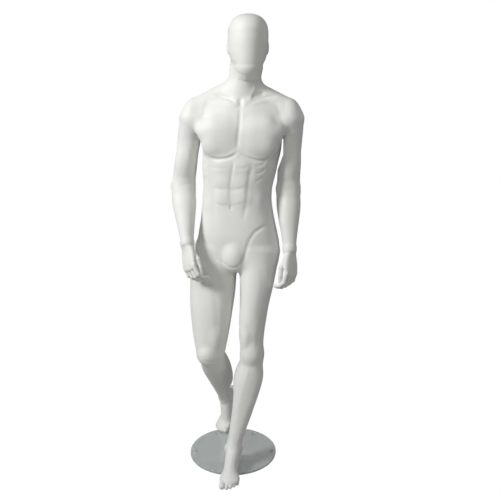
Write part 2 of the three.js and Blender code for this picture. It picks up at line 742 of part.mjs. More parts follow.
// Where a row of rays turns from the skin to a limiting plane, the last ray on the plane
// moves along it to the skin, so that the corner between them stays sharp
function sharpenCorners(rays, field, inset) {
  const count = rays.length;
  const corners = [];
  rays.forEach((ray, i) => {
    const open = [rays[(i + 1) % count], rays[(i + count - 1) % count]].find((other) => !other.plane);
    if (ray.plane && open) {
      const slide = open.end.clone().sub(ray.end);
      slide.addScaledVector(ray.plane.normal, -slide.dot(ray.plane.normal)).normalize();
      corners.push([ray, along(ray.end, slide, castRay(ray.end, slide, field, inset, chestDeep))]);
    }
  });
  corners.forEach(([ray, end]) => {
    ray.end = end;
  });
}

function castRings(rings, count, field, inset, planes = []) {
  return rings.map((r) => {
    const rays = [];
    for (let i = 0; i < count; i += 1) {
      const angle = (i / count) * Math.PI * 2;
      const direction = r.side.clone().multiplyScalar(Math.cos(angle));
      direction.addScaledVector(r.front, Math.sin(angle));
      const origin = along(r.centre, r.side, Math.cos(angle) * r.coreSide);
      origin.addScaledVector(r.front, Math.sin(angle) * r.coreFront);
      const { limit, plane } = rayLimit(origin, direction, [...planes, ...r.planes]);
      const reach = castRay(origin, direction, field, inset, limit);
      rays.push({ origin, end: along(origin, direction, reach), plane: reach === limit ? plane : null });
    }
    sharpenCorners(rays, field, inset);
    return rays;
  });
}

function rayEnds(rows, shrink = 0) {
  return rows.map((rays) => rays.map((ray) => {
    const reach = ray.end.clone().sub(ray.origin);
    return along(ray.origin, reach.clone().normalize(), Math.max(reach.length() - shrink, 0));
  }));
}

// A closed skin over rows of points, with a point at each end. The guide rows pick how each
// four-sided patch is split, so that a shrunken skin is split like the full one.
function skin(rows, startPoint, endPoint, guide = rows) {
  const positions = [];
  const count = rows[0].length;
  const push = (...points) => points.forEach((p) => positions.push(p.x, p.y, p.z));
  for (let j = 0; j < rows.length - 1; j += 1) {
    for (let i = 0; i < count; i += 1) {
      const k = (i + 1) % count;
      const [a, b, c, d] = [rows[j][i], rows[j][k], rows[j + 1][k], rows[j + 1][i]];
      const falling = guide[j][i].distanceToSquared(guide[j + 1][k]);
      const rising = guide[j][k].distanceToSquared(guide[j + 1][i]);
      if (falling < rising) push(a, b, c, a, c, d);
      else push(a, b, d, b, c, d);
    }
  }
  for (let i = 0; i < count; i += 1) {
    const k = (i + 1) % count;
    push(startPoint, rows[0][k], rows[0][i]);
    push(endPoint, rows[rows.length - 1][i], rows[rows.length - 1][k]);
  }
  const geometry = new THREE.BufferGeometry();
  geometry.setAttribute('position', new THREE.Float32BufferAttribute(positions, 3));
  return geometry;
}

const middleOf = (points) => points.reduce((sum, p) => sum.add(p), at(0, 0, 0)).divideScalar(points.length);

// Solids for joining and cutting
function toSolid(geometry) {
  const bare = geometry.clone();
  bare.deleteAttribute('normal');
  bare.deleteAttribute('uv');
  const merged = mergeVertices(bare, touchGap / 300);
  const mesh = new wasm.Mesh({
    numProp: 3,
    vertProperties: Float32Array.from(merged.attributes.position.array),
    triVerts: Uint32Array.from(merged.index.array),
  });
  const solid = new wasm.Manifold(mesh);
  if (solid.volume() >= 0) return solid;
  const flipped = Uint32Array.from(merged.index.array);
  for (let i = 0; i < flipped.length; i += 3) {
    [flipped[i], flipped[i + 1]] = [flipped[i + 1], flipped[i]];
  }
  return new wasm.Manifold(new wasm.Mesh({ numProp: 3, vertProperties: mesh.vertProperties, triVerts: flipped }));
}

// The triangles of the largest connected surface, which leaves out slivers made by a cut
function mainTriangles(mesh) {
  const { triVerts: corners, vertProperties: places } = mesh;
  const parent = Int32Array.from({ length: places.length / 3 }, (_, i) => i);
  const rootOf = (i) => {
    let root = i;
    while (parent[root] !== root) root = parent[root];
    parent[i] = root;
    return root;
  };
  for (let i = 0; i < corners.length; i += 3) {
    parent[rootOf(corners[i + 1])] = rootOf(corners[i]);
    parent[rootOf(corners[i + 2])] = rootOf(corners[i]);
  }
  const counts = new Map();
  for (let i = 0; i < corners.length; i += 3) {
    const root = rootOf(corners[i]);
    counts.set(root, (counts.get(root) ?? 0) + 1);
  }
  const largest = [...counts.entries()].sort((a, b) => b[1] - a[1])[0][0];
  const kept = [];
  for (let i = 0; i < corners.length; i += 3) {
    if (rootOf(corners[i]) === largest) kept.push(corners[i], corners[i + 1], corners[i + 2]);
  }
  return kept;
}

function toGeometry(solid) {
  const mesh = solid.getMesh();
  const geometry = new THREE.BufferGeometry();
  geometry.setAttribute('position', new THREE.BufferAttribute(Float32Array.from(mesh.vertProperties), 3));
  geometry.setIndex(mainTriangles(mesh));
  return geometry;
}

const skinSolid = (rows, start = middleOf(rows[0]), end = middleOf(rows[rows.length - 1]), guide = rows) =>
  toSolid(skin(rows, start, end, guide));

// The hollow of a shell, and the same hollow made smaller by the touching gap
function hollowSolids(rays) {
  const full = rayEnds(rays);
  const small = rayEnds(rays, touchGap);
  const [start, end] = [middleOf(full[0]), middleOf(full[full.length - 1])];
  return { hollow: skinSolid(full, start, end), inner: skinSolid(small, start, end, full) };
}

// Places a geometry drawn with +Z ahead so that its Z runs along the given direction
function placed(geometry, origin, direction, front = facing(0)) {
  const frame = frameAlong(origin, direction, front);
  const matrix = new THREE.Matrix4().makeBasis(frame.side.clone().negate(), frame.front.clone().negate(), frame.ahead);
  if (matrix.determinant() < 0) matrix.makeBasis(frame.side, frame.front.clone().negate(), frame.ahead);
  matrix.setPosition(origin);
  return geometry.clone().applyMatrix4(matrix);
}

// A block that holds everything on the far side of a plane, or only a layer of it
const blockSize = chestWidth * 8;
function beyond(point, normal, thickness = blockSize) {
  const block = new THREE.BoxGeometry(blockSize, blockSize, thickness);
  block.translate(0, 0, thickness / 2);
  return toSolid(placed(block, point, normal));
}

function disc(radius, height, segments) {
  const geometry = new THREE.CylinderGeometry(radius, radius, height, segments);
  geometry.rotateX(Math.PI / 2);
  geometry.translate(0, 0, height / 2);
  return geometry;
}

const discAt = (radius, height, segments, origin, direction, front) =>
  toSolid(placed(disc(radius, height, segments), origin, direction, front));

// Seams: an upright or level plane, pointing from the piece that stays to the piece that comes off
const waistHeightShare = 0.262;
const waistCentre = at(pelvis.x - spineSway * 0.15, pelvis.y, onPelvis(waistHeightShare, 0, 0).z);
const neckSeamShare = 0.45;
const shoulderSeamHeightShare = 0.888;
const thighSeamShare = 0.32;
const seams = {
  waist: { point: waistCentre, normal: up.clone() },
  neck: { point: along(neckRoot, neckFrame.ahead, neckLength * neckSeamShare), normal: neckFrame.ahead.clone() },
  thigh: {
    point: along(rearHip, legs.rear.upper.ahead, thighLength * thighSeamShare),
    normal: legs.rear.upper.ahead.clone(),
  },
};
for (const [name, arm] of Object.entries(arms)) {
  const outward = chestFrame.side.clone().multiplyScalar(arm.spec.side);
  const height = shoulderSeamHeightShare * trunkLength;
  const point = inFrame(chestFrame, height, -chestDeep * 0.03, arm.spec.side * shoulderSeamOffset);
  seams[`${name}_shoulder`] = { point, normal: outward, upright: true };
  seams[`${name}_wrist`] = { point: arm.wrist.clone(), normal: arm.lower.ahead.clone() };
}

const limitAt = (seam, direction) => ({
  point: along(seam.point, seam.normal, direction * cutOverrun),
  normal: seam.normal.clone().multiplyScalar(direction),
});

// Keeps the part of a solid before the seam, or after it, less half of the seam gap
const before = (seam) => beyond(along(seam.point, seam.normal, -seamGap / 2), seam.normal.clone().negate());
const after = (seam) => beyond(along(seam.point, seam.normal, seamGap / 2), seam.normal);
const keepBefore = (solid, seam) => solid.intersect(before(seam));
const keepAfter = (solid, seam) => solid.intersect(after(seam));

// Trunk rings, level, from below the waist to above the neck seam
function trunkCentre(height) {
  const t = (height - pelvis.z) / trunkLength;
  const sway = tableCurve(swayShares, 1)(t) * spineSway;
  const x = t < 1 ? pelvis.x + sway : neckRoot.x + neckFrame.ahead.x * (height - neckRoot.z);
  const y = t < 1 ? pelvis.y + t * (neckBase.y - pelvis.y) : neckRoot.y + neckFrame.ahead.y * (height - neckRoot.z);
  return at(x, y, height);
}

const torsoRingShares = [
  0.245, 0.29, 0.335, 0.38, 0.42, 0.46, 0.5, 0.54, 0.58, 0.615, 0.645, 0.665, 0.69, 0.73, 0.77, 0.81,
  0.845, 0.88, 0.91, 0.94, 0.965, 0.985, 1.003, 1.02, 1.037, 1.054, 1.07, 1.09, 1.12, 1.165,
];
const torsoCoreShares = [[0.2, 0.3], [0.38, 0.26], [0.7, 0.42], [0.85, 0.5], [0.95, 0.42], [1.0, 0.2], [1.05, 0.04]];
const torsoRings = torsoRingShares.map((share) => {
  const core = tableCurve(torsoCoreShares, 1)(share);
  return ring(trunkCentre(pelvis.z + share * trunkLength), chestFrame.side, chestFrame.front,
    core * chestHalf, core * chestDeep / 3);
});
const everySecond = (list) => list.filter((_, i) => i % 2 === 0 || i === list.length - 1);
const torsoLimits = [limitAt(seams.left_shoulder, 1), limitAt(seams.right_shoulder, 1)];

// Everything above a level a little under the armpits
const aboveArmpit = (drop) => beyond(at(0, 0, armpitHeight - drop), up);
const boardDrop = chestDeep / 6;
// The arm is cut along the flank too, from a level under the armpit down
const underarmDrop = chestDeep * 0.82;
const underarmTurn = radians(20);

// Closing board: fills the hollow of a shell for a short depth behind the seam face
function closingBoard(inner, seam, direction) {
  const face = along(seam.point, seam.normal, direction * seamGap / 2);
  const board = inner.intersect(beyond(face, seam.normal.clone().multiplyScalar(direction), boardThickness));
  return seam.upright ? board.intersect(aboveArmpit(boardDrop)) : board;
}

// Two-part bayonet fitting at a seam. The stud's long lock turns behind the socket plate's slot.
const largeFitting = { plate: largePlateRadius, shank: largeShankRadius, lock: largeLockLength };
const screwedFitting = { ...largeFitting, screwed: true };
const shoulderFitting = { plate: shoulderPlateRadius, shank: shoulderShankRadius, lock: shoulderLockLength };
const smallFitting = { plate: smallPlateRadius, shank: smallShankRadius, lock: smallLockLength };
const plateSides = 16;
const shankSides = 10;
const slotCurveSteps = 3;

function slotShape(length, width) {
  const shape = new THREE.Shape();
  const r = width / 2;
  const half = length / 2 - r;
  shape.moveTo(-half, -r);
  shape.lineTo(half, -r);
  shape.absarc(half, 0, r, -Math.PI / 2, Math.PI / 2, false);
  shape.lineTo(-half, r);
  shape.absarc(-half, 0, r, Math.PI / 2, Math.PI * 1.5, false);
  return shape;
}

const slotSolid = (length, width, height, origin, direction, front) => toSolid(placed(
  new THREE.ExtrudeGeometry(slotShape(length, width), { depth: height, bevelEnabled: false, curveSegments: slotCurveSteps }),
  origin, direction, front));

function screwPlaces(seam, fitting, front) {
  if (!fitting.screwed) return [];
  const frame = frameAlong(seam.point, seam.normal, front);
  const reach = (fitting.lock / 2 + fitting.plate) / 2;
  return [-1, 1].map((sign) => inFrame(frame, 0, sign * reach, 0));
}

// Screw: countersunk head flush with the plate, shank into the board
const screwProfile = [
  [0, 0],
  [screwHeadRadius, 0],
  [screwRadius, screwHeadHeight],
  [screwRadius, screwLength],
  [0, screwLength],
];
const screwHoleProfile = [
  [0, -cutOverrun],
  [screwHeadRadius + touchGap, -cutOverrun],
  [screwHeadRadius + touchGap, touchGap],
  [screwRadius + touchGap, screwHeadHeight + touchGap],
  [screwRadius + touchGap, screwLength + touchGap],
  [0, screwLength + touchGap],
];
const screwSides = 8;

function screwSolid(profile, place, direction) {
  const lathe = new THREE.LatheGeometry(profile.map(([r, z]) => new THREE.Vector2(r, z)), screwSides);
  lathe.rotateX(Math.PI / 2);
  return toSolid(placed(lathe, place, direction));
}

// The socket side lies towards `side` of the seam; the stud points into it
function makeFitting(seam, socketDirection, fitting, inner, front) {
  const into = seam.normal.clone().multiplyScalar(socketDirection);
  const out = into.clone().negate();
  const socketFace = along(seam.point, into, seamGap / 2);
  const studFace = along(seam.point, out, seamGap / 2);
  const across = new THREE.Vector3().crossVectors(seam.normal, front).normalize();
  const recess = (face, direction) => discAt(fitting.plate + touchGap, plateThickness + touchGap + cutOverrun,
    plateSides, along(face, direction, -cutOverrun), direction, front);
  const slot = slotSolid(fitting.lock + 2 * touchGap, (fitting.shank + touchGap) * 2,
    plateThickness + 2 * cutOverrun, along(socketFace, into, -cutOverrun), into, across);
  let socketPlate = discAt(fitting.plate, plateThickness, plateSides, socketFace, into, front).subtract(slot);
  let stud = discAt(fitting.plate, plateThickness, plateSides, studFace, out, front);
  const lockStart = seamGap + plateThickness + touchGap;
  const shank = discAt(fitting.shank, lockStart + lockHeight, shankSides, along(studFace, out, touchGap), into, front);
  const lock = slotSolid(fitting.lock, fitting.shank * 2, lockHeight, along(studFace, into, lockStart), into, front);
  stud = stud.add(shank).add(lock);
  const pocket = discAt(fitting.lock / 2 + 2 * touchGap, boardThickness + 2 * cutOverrun, plateSides,
    along(socketFace, into, -cutOverrun), into, front);
  let socketBoard = closingBoard(inner.socket, seam, socketDirection).subtract(recess(socketFace, into));
  socketBoard = socketBoard.subtract(pocket);
  const studRecess = recess(studFace, out);
  let studBoard = inner.stud && closingBoard(inner.stud, seam, -socketDirection).subtract(studRecess);
  const screws = [];
  screwPlaces(seam, fitting, front).forEach((place, i) => {
    const socketSeat = along(place, into, seamGap / 2);
    const studSeat = along(place, out, seamGap / 2);
    const socketHole = screwSolid(screwHoleProfile, socketSeat, into);
    const studHole = screwSolid(screwHoleProfile, studSeat, out);
    socketPlate = socketPlate.subtract(socketHole);
    socketBoard = socketBoard.subtract(socketHole);
    stud = stud.subtract(studHole);
    studBoard = studBoard.subtract(studHole);
    screws.push({
      number: i + 1,
      socket: screwSolid(screwProfile, socketSeat, into),
      stud: screwSolid(screwProfile, studSeat, out),
    });
  });
  return { socketPlate, stud, socketBoard, studBoard, studRecess, screws };
}

// The finished group: each piece is a named mesh
const mannequin = new THREE.Group();

function addPiece(name, solid, material) {
  const mesh = new THREE.Mesh(toGeometry(solid), material);
  mesh.name = name;
  mannequin.add(mesh);
}

function addFitting(name, fitting) {
  addPiece(`${name}_socket_plate`, fitting.socketPlate, zincSteel);
  addPiece(`${name}_stud`, fitting.stud, zincSteel);
  addPiece(`${name}_socket_board`, fitting.socketBoard, boardWood);
  if (fitting.studBoard) addPiece(`${name}_stud_board`, fitting.studBoard, boardWood);
  fitting.screws.forEach(({ number, socket, stud }) => {
    addPiece(`${name}_socket_screw_${number}`, socket, zincSteel);
    addPiece(`${name}_stud_screw_${number}`, stud, zincSteel);
  });
}

// Torso
const torsoRayCount = 28;
const torsoSkin = skinSolid(rayEnds(castRings(torsoRings, torsoRayCount, upperBody, 0, torsoLimits)));
const torsoInside = hollowSolids(castRings(torsoRings, torsoRayCount, upperBody, wall, torsoLimits));

// Head
const headNeckShares = [-0.165, -0.11, -0.06, -0.01];
const headRingShares = [0.03, 0.09, 0.16, 0.24, 0.33, 0.42, 0.51, 0.6, 0.69, 0.77, 0.84, 0.9, 0.95, 0.985];
const headAxis = along(headRoot, headFrame.front, -headDepth * 0.02);
const headRings = [...headNeckShares, ...headRingShares].map((share) => {
  const height = headRoot.z + share * headHeight;
  const onNeck = along(neckRoot, neckFrame.ahead, (height - neckRoot.z) / neckFrame.ahead.z);
  const centre = onNeck.lerp(at(headAxis.x, headAxis.y, height), Math.min(Math.max(share * 4 + 0.4, 0), 1));
  return ring(centre, headFrame.side, headFrame.front);
});
const headRayCount = 24;
const headHollowRayCount = 16;
const headCrown = along(headRoot, up, headHeight * 1.0);
const headOuter = castRings(headRings, headRayCount, headBody, 0);
const headSkin = skinSolid(rayEnds(headOuter), middleOf(rayEnds(headOuter)[0]), headCrown);
const headInside = hollowSolids(castRings(headRings.slice(0, -1), headHollowRayCount, headBody, wall));

const shoulderRingShares = [[1.0, 1.06], [0.9, 1.08], [0.72, 1.11], [0.5, 1.14], [0.2, 1.17], [-0.15, 1.19]];

// Arm rings: level round the shoulder, then square to the arm
function armRings(arm) {
  const { side } = arm.spec;
  const seam = seams[side > 0 ? 'left_shoulder' : 'right_shoulder'];
  const level = shoulderRingShares.map(([height, out]) => {
    const centre = inFrame(chestFrame, 0, -chestDeep * 0.04, side * out * chestHalf);
    centre.z = arm.top.z + height * upperArmLength * 0.26;
    return ring(centre, chestFrame.side, chestFrame.front, 0, chestDeep * 0.1, [limitAt(seam, -1)]);
  });
  const upperShares = [0.28, 0.38, 0.48, 0.58, 0.68, 0.78, 0.88, 0.96];
  const lowerShares = [0.05, 0.15, 0.26, 0.38, 0.52, 0.66, 0.8, 0.92, 1.0, 1.06];
  const square = [[arm.upper, upperArmLength, upperShares], [arm.lower, forearmLength, lowerShares]]
    .flatMap(([frame, length, shares]) => shares.map((share) =>
      ring(inFrame(frame, share * length, 0, 0), frame.side.clone().negate(), frame.front)));
  return [...level, ...square];
}

const armRayCount = 16;
const armHollowRayCount = 12;
const hollowTopRings = 6;
const armSolids = {};
for (const [name, arm] of Object.entries(arms)) {
  const rings = armRings(arm);
  const field = armBody(name);
  const outer = rayEnds(castRings(rings, armRayCount, field, 0));
  const topCentre = rings[0].centre;
  const topPoint = along(topCentre, up, castRay(topCentre, up, field, 0, chestDeep));
  const hollowRings = [...rings.slice(0, hollowTopRings), ...everySecond(rings.slice(hollowTopRings))];
  const inside = hollowSolids(castRings(hollowRings, armHollowRayCount, field, wall));
  armSolids[name] = { outer: skinSolid(outer, topPoint), ...inside };
}

const fingerSides = 7;
const toeSides = 7;
const palmRayCount = 14;

// Tubes for fingers and toes, round, closed and rounded at both ends
function tubeSolid(joints, radii, sides) {
  const rows = [];
  const frameFor = (direction) => frameAlong(joints[0], direction, Math.abs(direction.x) < 0.8 ? at(1, 0, 0) : up);
  const circle = (centre, frame, radius) => Array.from({ length: sides }, (_, i) => {
    const angle = (i / sides) * Math.PI * 2;
    return along(along(centre, frame.front, Math.cos(angle) * radius), frame.side, Math.sin(angle) * radius);
  });
  const last = joints.length - 1;
  const directions = joints.map((joint, i) =>
    joints[Math.min(i + 1, last)].clone().sub(joints[Math.max(i - 1, 0)]).normalize());
  const domeShares = [[0.92, 0.4], [0.72, 0.7]];
  domeShares.slice().reverse().forEach(([ahead, wide]) => rows.push(circle(
    along(joints[0], directions[0], -ahead * radii[0]), frameFor(directions[0]), wide * radii[0])));
  rows.sort((a, b) => a[0].distanceTo(joints[last]) - b[0].distanceTo(joints[last])).reverse();
  joints.forEach((joint, i) => rows.push(circle(joint, frameFor(directions[i]), radii[i])));
  domeShares.slice().reverse().forEach(([ahead, wide]) => rows.push(circle(
    along(joints[last], directions[last], ahead * radii[last]), frameFor(directions[last]), wide * radii[last])));
  return toSolid(skin(rows, along(joints[0], directions[0], -radii[0]),
    along(joints[last], directions[last], radii[last])));
}

// Hands
const palmRingShares = [-0.12, 0.05, 0.25, 0.45, 0.65, 0.85, 1.0, 1.08];
const handSolids = {};
for (const [name, hand] of Object.entries(hands)) {
  const field = joined([0, hand.palm], ...arms[name].forms.slice(1, 2).map(([, form]) => [upperArmWidth / 8, form]));
  const palmLength = handLength * palmShare;
  const rings = palmRingShares.map((share) => ring(inFrame(hand.palmFrame, share * palmLength, 0, 0),
    hand.palmFrame.side, hand.palmFrame.front, palmWidth * 0.2));
  let solid = skinSolid(rayEnds(castRings(rings, palmRayCount, field, 0)));
  for (const finger of hand.fingers) {
    const count = finger.joints.length;
    const radii = finger.joints.map((_, i) => finger.radius * mix(1.06, 0.8, i / (count - 1)));
    solid = solid.add(tubeSolid(finger.joints, radii, fingerSides));
  }
  handSolids[name] = solid;
}

// Leg rings: fanned about the crotch from the middle plane to the thigh, square to the thigh and shin, then fanned round the ankle
const pelvisRingShares = [0.285, 0.235, 0.19, 0.145, 0.1, 0.06, 0.025, -0.01, -0.03];
const hipFanShares = [1.06, 0.89, 0.71, 0.53, 0.35, 0.17, 0];
const fanPivotShare = -0.16;
const fanRoofShare = 0.13;
const thighRingShares = [0.3, 0.35, 0.41, 0.5, 0.59, 0.68, 0.76, 0.83, 0.9, 0.96];
const shinRingShares = [0.02, 0.07, 0.13, 0.2, 0.28, 0.36, 0.45, 0.55, 0.65, 0.74, 0.82, 0.9];
const kneeBendShare = 0.2;
const hipSplitShare = 0;

function legRings(leg, sign) {
  const roof = { point: onPelvis(fanRoofShare, 0, 0), normal: up.clone() };
  const rings = hipFanShares.map((share) => {
    const angle = share * Math.PI / 2;
    const outward = pelvisFrame.side.clone().multiplyScalar(sign * Math.cos(angle));
    outward.addScaledVector(up, Math.sin(angle));
    const centre = along(onPelvis(fanPivotShare, 0, 0), outward, mix(frontHipReach, torsoBlend * 3, share));
    return ring(centre, outward.multiplyScalar(sign), pelvisFrame.front, 0, chestDeep * 0.1, [roof]);
  });
  const normalAt = (distance) => {
    const x = Math.min(Math.max(distance / (shinLength * kneeBendShare * 2) + 0.5, 0), 1);
    return leg.upper.ahead.clone().lerp(leg.lower.ahead, x * x * (3 - 2 * x)).normalize();
  };
  const square = (centre, distance) => {
    const frame = frameAlong(centre, normalAt(distance), leg.front);
    rings.push(ring(centre, frame.side.clone().negate(), frame.front));
  };
  thighRingShares.forEach((share) =>
    square(inFrame(leg.upper, share * thighLength, 0, 0), (share - 1) * thighLength));
  shinRingShares.forEach((share) => square(inFrame(leg.lower, share * shinLength, 0, 0), share * shinLength));
  return rings;
}

function footRings(leg) {
  const { frame } = leg.foot;
  const pivot = inFrame(frame, toeReach * 0.34, ankleHeight * 0.36, 0);
  const shinUp = leg.lower.ahead.clone().negate();
  const firstAngle = Math.atan2(-shinUp.dot(frame.ahead), shinUp.dot(frame.front));
  const fanCount = 6;
  const side = frame.side.clone().negate();
  const rings = [];
  for (let i = 0; i <= fanCount; i += 1) {
    const x = i / fanCount;
    const angle = mix(firstAngle, Math.PI / 2, x);
    const outward = frame.ahead.clone().multiplyScalar(-Math.cos(angle));
    outward.addScaledVector(frame.front, -Math.sin(angle));
    const reach = toeReach * (0.35 + 0.12 * Math.sin(Math.PI * x) + 0.02 * x);
    rings.push(ring(along(pivot, outward, reach), side, outward.clone().negate()));
  }
  const forwardShares = [0.41, 0.49, 0.57];
  forwardShares.forEach((share) => {
    const height = mix(-0.62, -0.76, (share - 0.34) / 0.23) * ankleHeight;
    rings.push(ring(inFrame(frame, share * toeReach, height, 0), side, frame.front, footWidth * 0.2));
  });
  const { toeFrame } = leg.foot;
  const bend = frame.front.clone().lerp(toeFrame.front, 0.5).normalize();
  rings.push(ring(leg.foot.ball, side, bend, footWidth * 0.2));
  [0.07, 0.14, 0.2].forEach((share) => rings.push(
    ring(inFrame(toeFrame, share * toeReach, 0, 0), side, toeFrame.front, footWidth * 0.2)));
  const sole = { point: inFrame(frame, 0, -ankleHeight, 0), normal: frame.front.clone().negate() };
  const toeSole = { point: inFrame(toeFrame, 0, -ballRadius, 0), normal: toeFrame.front.clone().negate() };
  return rings.map((r) => ({ ...r, planes: [sole, toeSole] }));
}

const pelvisRayCount = 32;
const pelvisRings = pelvisRingShares.map((share) => ring(onPelvis(share, 0, 0), pelvisFrame.side, pelvisFrame.front,
  chestHalf * 0.5, chestDeep * 0.1));
const pelvisField = lowerBody(legs.front, legs.rear);
const pelvisFloor = beyond(along(onPelvis(hipSplitShare, 0, 0), up, -touchGap), up);
const pelvisSkin = skinSolid(rayEnds(castRings(pelvisRings, pelvisRayCount, pelvisField, 0))).intersect(pelvisFloor);
const pelvisInside = hollowSolids(castRings(everySecond(pelvisRings), pelvisRayCount / 2, pelvisField, wall));

const legRayCount = 18;

// The half of the hips that goes with a leg ends at the middle plane and below the pelvis solid
function hipHalf(solid, sign) {
  const outward = pelvisFrame.side.clone().multiplyScalar(-sign);
  const farSide = beyond(along(pelvis, outward, touchGap), outward);
  const above = beyond(along(crotch, up, -torsoBlend / 4), up);
  const roof = beyond(along(onPelvis(hipSplitShare, 0, 0), up, touchGap), up);
  return solid.subtract(farSide.intersect(above)).subtract(roof);
}

function makeLegSolids(leg, other, sign) {
  const field = lowerBody(leg, other);
  const limbRings = legRings(leg, sign);
  const rings = [...limbRings, ...footRings(leg)];
  let outer = skinSolid(rayEnds(castRings(rings, legRayCount, field, 0)));
  for (const toe of leg.foot.toes) {
    const middle = toe.root.clone().lerp(toe.tip, 0.5);
    outer = outer.add(tubeSolid([toe.root, middle, toe.tip], [toe.radius * 0.9, toe.radius * 0.92, toe.radius], toeSides));
  }
  const { frame, toeFrame, ball } = leg.foot;
  outer = outer.intersect(beyond(along(frame.origin, frame.front, -ankleHeight), frame.front));
  outer = outer.intersect(beyond(along(ball, toeFrame.front, -ballRadius), toeFrame.front));
  const { hollow, inner } = hollowSolids(castRings(everySecond(limbRings), legRayCount / 2, field, wall));
  return { outer: hipHalf(outer, sign), hollow: hipHalf(hollow, sign), inner };
}

const frontLeg = makeLegSolids(legs.front, legs.rear, 1);
const rearLeg = makeLegSolids(legs.rear, legs.front, -1);

// Heights of the base pieces, from the floor up
const collarBottom = glassTop + touchGap + gasketThickness + touchGap;
const collarTop = collarBottom + collarHeight;
const spigotTop = collarTop + spigotHeight;
const lowerGasketTop = bumperHeight - touchGap;
const washerTop = lowerGasketTop - gasketThickness - touchGap;
const nutTop = washerTop - washerThickness - touchGap;
const nutBottom = nutTop - nutHeight;

const roundSides = 16;
const glassSides = 56;
const bumperSides = 12;

function latheAt(points, x, y, segments = roundSides) {
  const lathe = new THREE.LatheGeometry(points.map(([r, z]) => new THREE.Vector2(r, z)), segments);
  lathe.rotateX(Math.PI / 2);
  lathe.translate(x, y, 0);
  return toSolid(lathe);
}

const washerShape = (hole, radius, low, high) => [[hole, low], [radius, low], [radius, high], [hole, high], [hole, low]];
const cylinderShape = (radius, low, high) => [[0, low], [radius, low], [radius, high], [0, high]];
const spigotWasher = (radius, low, high) => latheAt(washerShape(studRadiusBelow + touchGap, radius, low, high),
  spigotX, spigotY);

// Glass base
const glassEdge = [
  [0, bumperHeight],
  [glassRadius - glassEdgeBevel, bumperHeight],
  [glassRadius, bumperHeight + glassEdgeBevel],
  [glassRadius, glassTop - glassEdgeBevel],
  [glassRadius - glassEdgeBevel, glassTop],
  [0, glassTop],
];
const glassHole = latheAt(cylinderShape(studRadiusBelow + touchGap, 0, glassTop + cutOverrun), spigotX, spigotY);
addPiece('glass_disc', latheAt(glassEdge, 0, 0, glassSides).subtract(glassHole), clearGlass);
addPiece('centre_pad', latheAt(cylinderShape(centrePadRadius, 0, bumperHeight - touchGap), 0, 0), bumperRubber);
for (let i = 0; i < bumperCount; i += 1) {
  const angle = (i / bumperCount) * Math.PI * 2;
  const reach = glassRadius - bumperInset;
  const bumper = latheAt(cylinderShape(bumperRadius, 0, bumperHeight - touchGap),
    Math.cos(angle) * reach, Math.sin(angle) * reach, bumperSides);
  addPiece(`rim_bumper_${i + 1}`, bumper, bumperRubber);
}
addPiece('upper_gasket', spigotWasher(gasketRadius, glassTop + touchGap, collarBottom - touchGap), gasketRubber);
addPiece('lower_gasket', spigotWasher(gasketRadius, lowerGasketTop - gasketThickness, lowerGasketTop), gasketRubber);
addPiece('spigot_washer', spigotWasher(washerRadius, washerTop - washerThickness, washerTop), zincSteel);
const nutBlank = discAt(nutRadius, nutHeight, 6, at(spigotX, spigotY, nutBottom), up);
const nutHole = latheAt(cylinderShape(studRadiusBelow + touchGap, nutBottom - cutOverrun, nutTop + cutOverrun),
  spigotX, spigotY);
addPiece('spigot_nut', nutBlank.subtract(nutHole), zincSteel);
addPiece('spigot', latheAt([
  [0, nutBottom],
  [studRadiusBelow, nutBottom],
  [studRadiusBelow, collarBottom],
  [collarRadius, collarBottom],
  [collarRadius, collarTop],
  [spigotRadius, collarTop],
  [spigotRadius, spigotTop - spigotTipBevel],
  [spigotRadius - spigotTipBevel, spigotTop],
  [0, spigotTop],
], spigotX, spigotY), zincSteel);

// Socket tube in the heel, with its flange in a recess of the sole
const flangeBottom = collarTop + touchGap;
const flangeTop = flangeBottom + socketFlangeThickness;
const tubeTop = spigotTop + spigotTipBevel;
const tubeBore = spigotRadius + touchGap;
const heelSocket = latheAt([
  [tubeBore, flangeBottom],
  [socketFlangeRadius, flangeBottom],
  [socketFlangeRadius, flangeTop],
  [socketTubeRadius, flangeTop],
  [socketTubeRadius, tubeTop],
  [tubeBore, tubeTop],
  [tubeBore, flangeBottom],
], spigotX, spigotY);
const heelRecess = latheAt([
  [0, soleHeight - cutOverrun],
  [socketFlangeRadius + touchGap, soleHeight - cutOverrun],
  [socketFlangeRadius + touchGap, flangeTop + touchGap],
  [socketTubeRadius + touchGap, flangeTop + touchGap],
  [socketTubeRadius + touchGap, tubeTop + touchGap],
  [0, tubeTop + touchGap],
], spigotX, spigotY);

// Shells
const hipsHollow = frontLeg.hollow.add(rearLeg.hollow).add(pelvisInside.hollow.intersect(pelvisFloor));
const rearStump = keepBefore(rearLeg.outer, seams.thigh);
const hipsSkin = keepBefore(frontLeg.outer.add(rearStump).add(pelvisSkin), seams.waist);
addPiece('hips_and_front_leg_shell', hipsSkin.subtract(hipsHollow).subtract(heelRecess), bodyPaint);
const overFan = beyond(onPelvis(fanPivotShare, 0, 0), up);
const rearOuter = keepAfter(rearLeg.outer, seams.thigh).subtract(overFan);
addPiece('rear_leg_shell', rearOuter.subtract(rearLeg.hollow), bodyPaint);
addPiece('heel_socket_tube', heelSocket, zincSteel);

let torsoOuter = keepAfter(torsoSkin, seams.waist);
for (const name of ['neck', 'left_shoulder', 'right_shoulder']) torsoOuter = keepBefore(torsoOuter, seams[name]);
addPiece('torso_shell', torsoOuter.subtract(torsoInside.hollow), bodyPaint);
addPiece('head_shell', keepAfter(headSkin, seams.neck).subtract(headInside.hollow), bodyPaint);

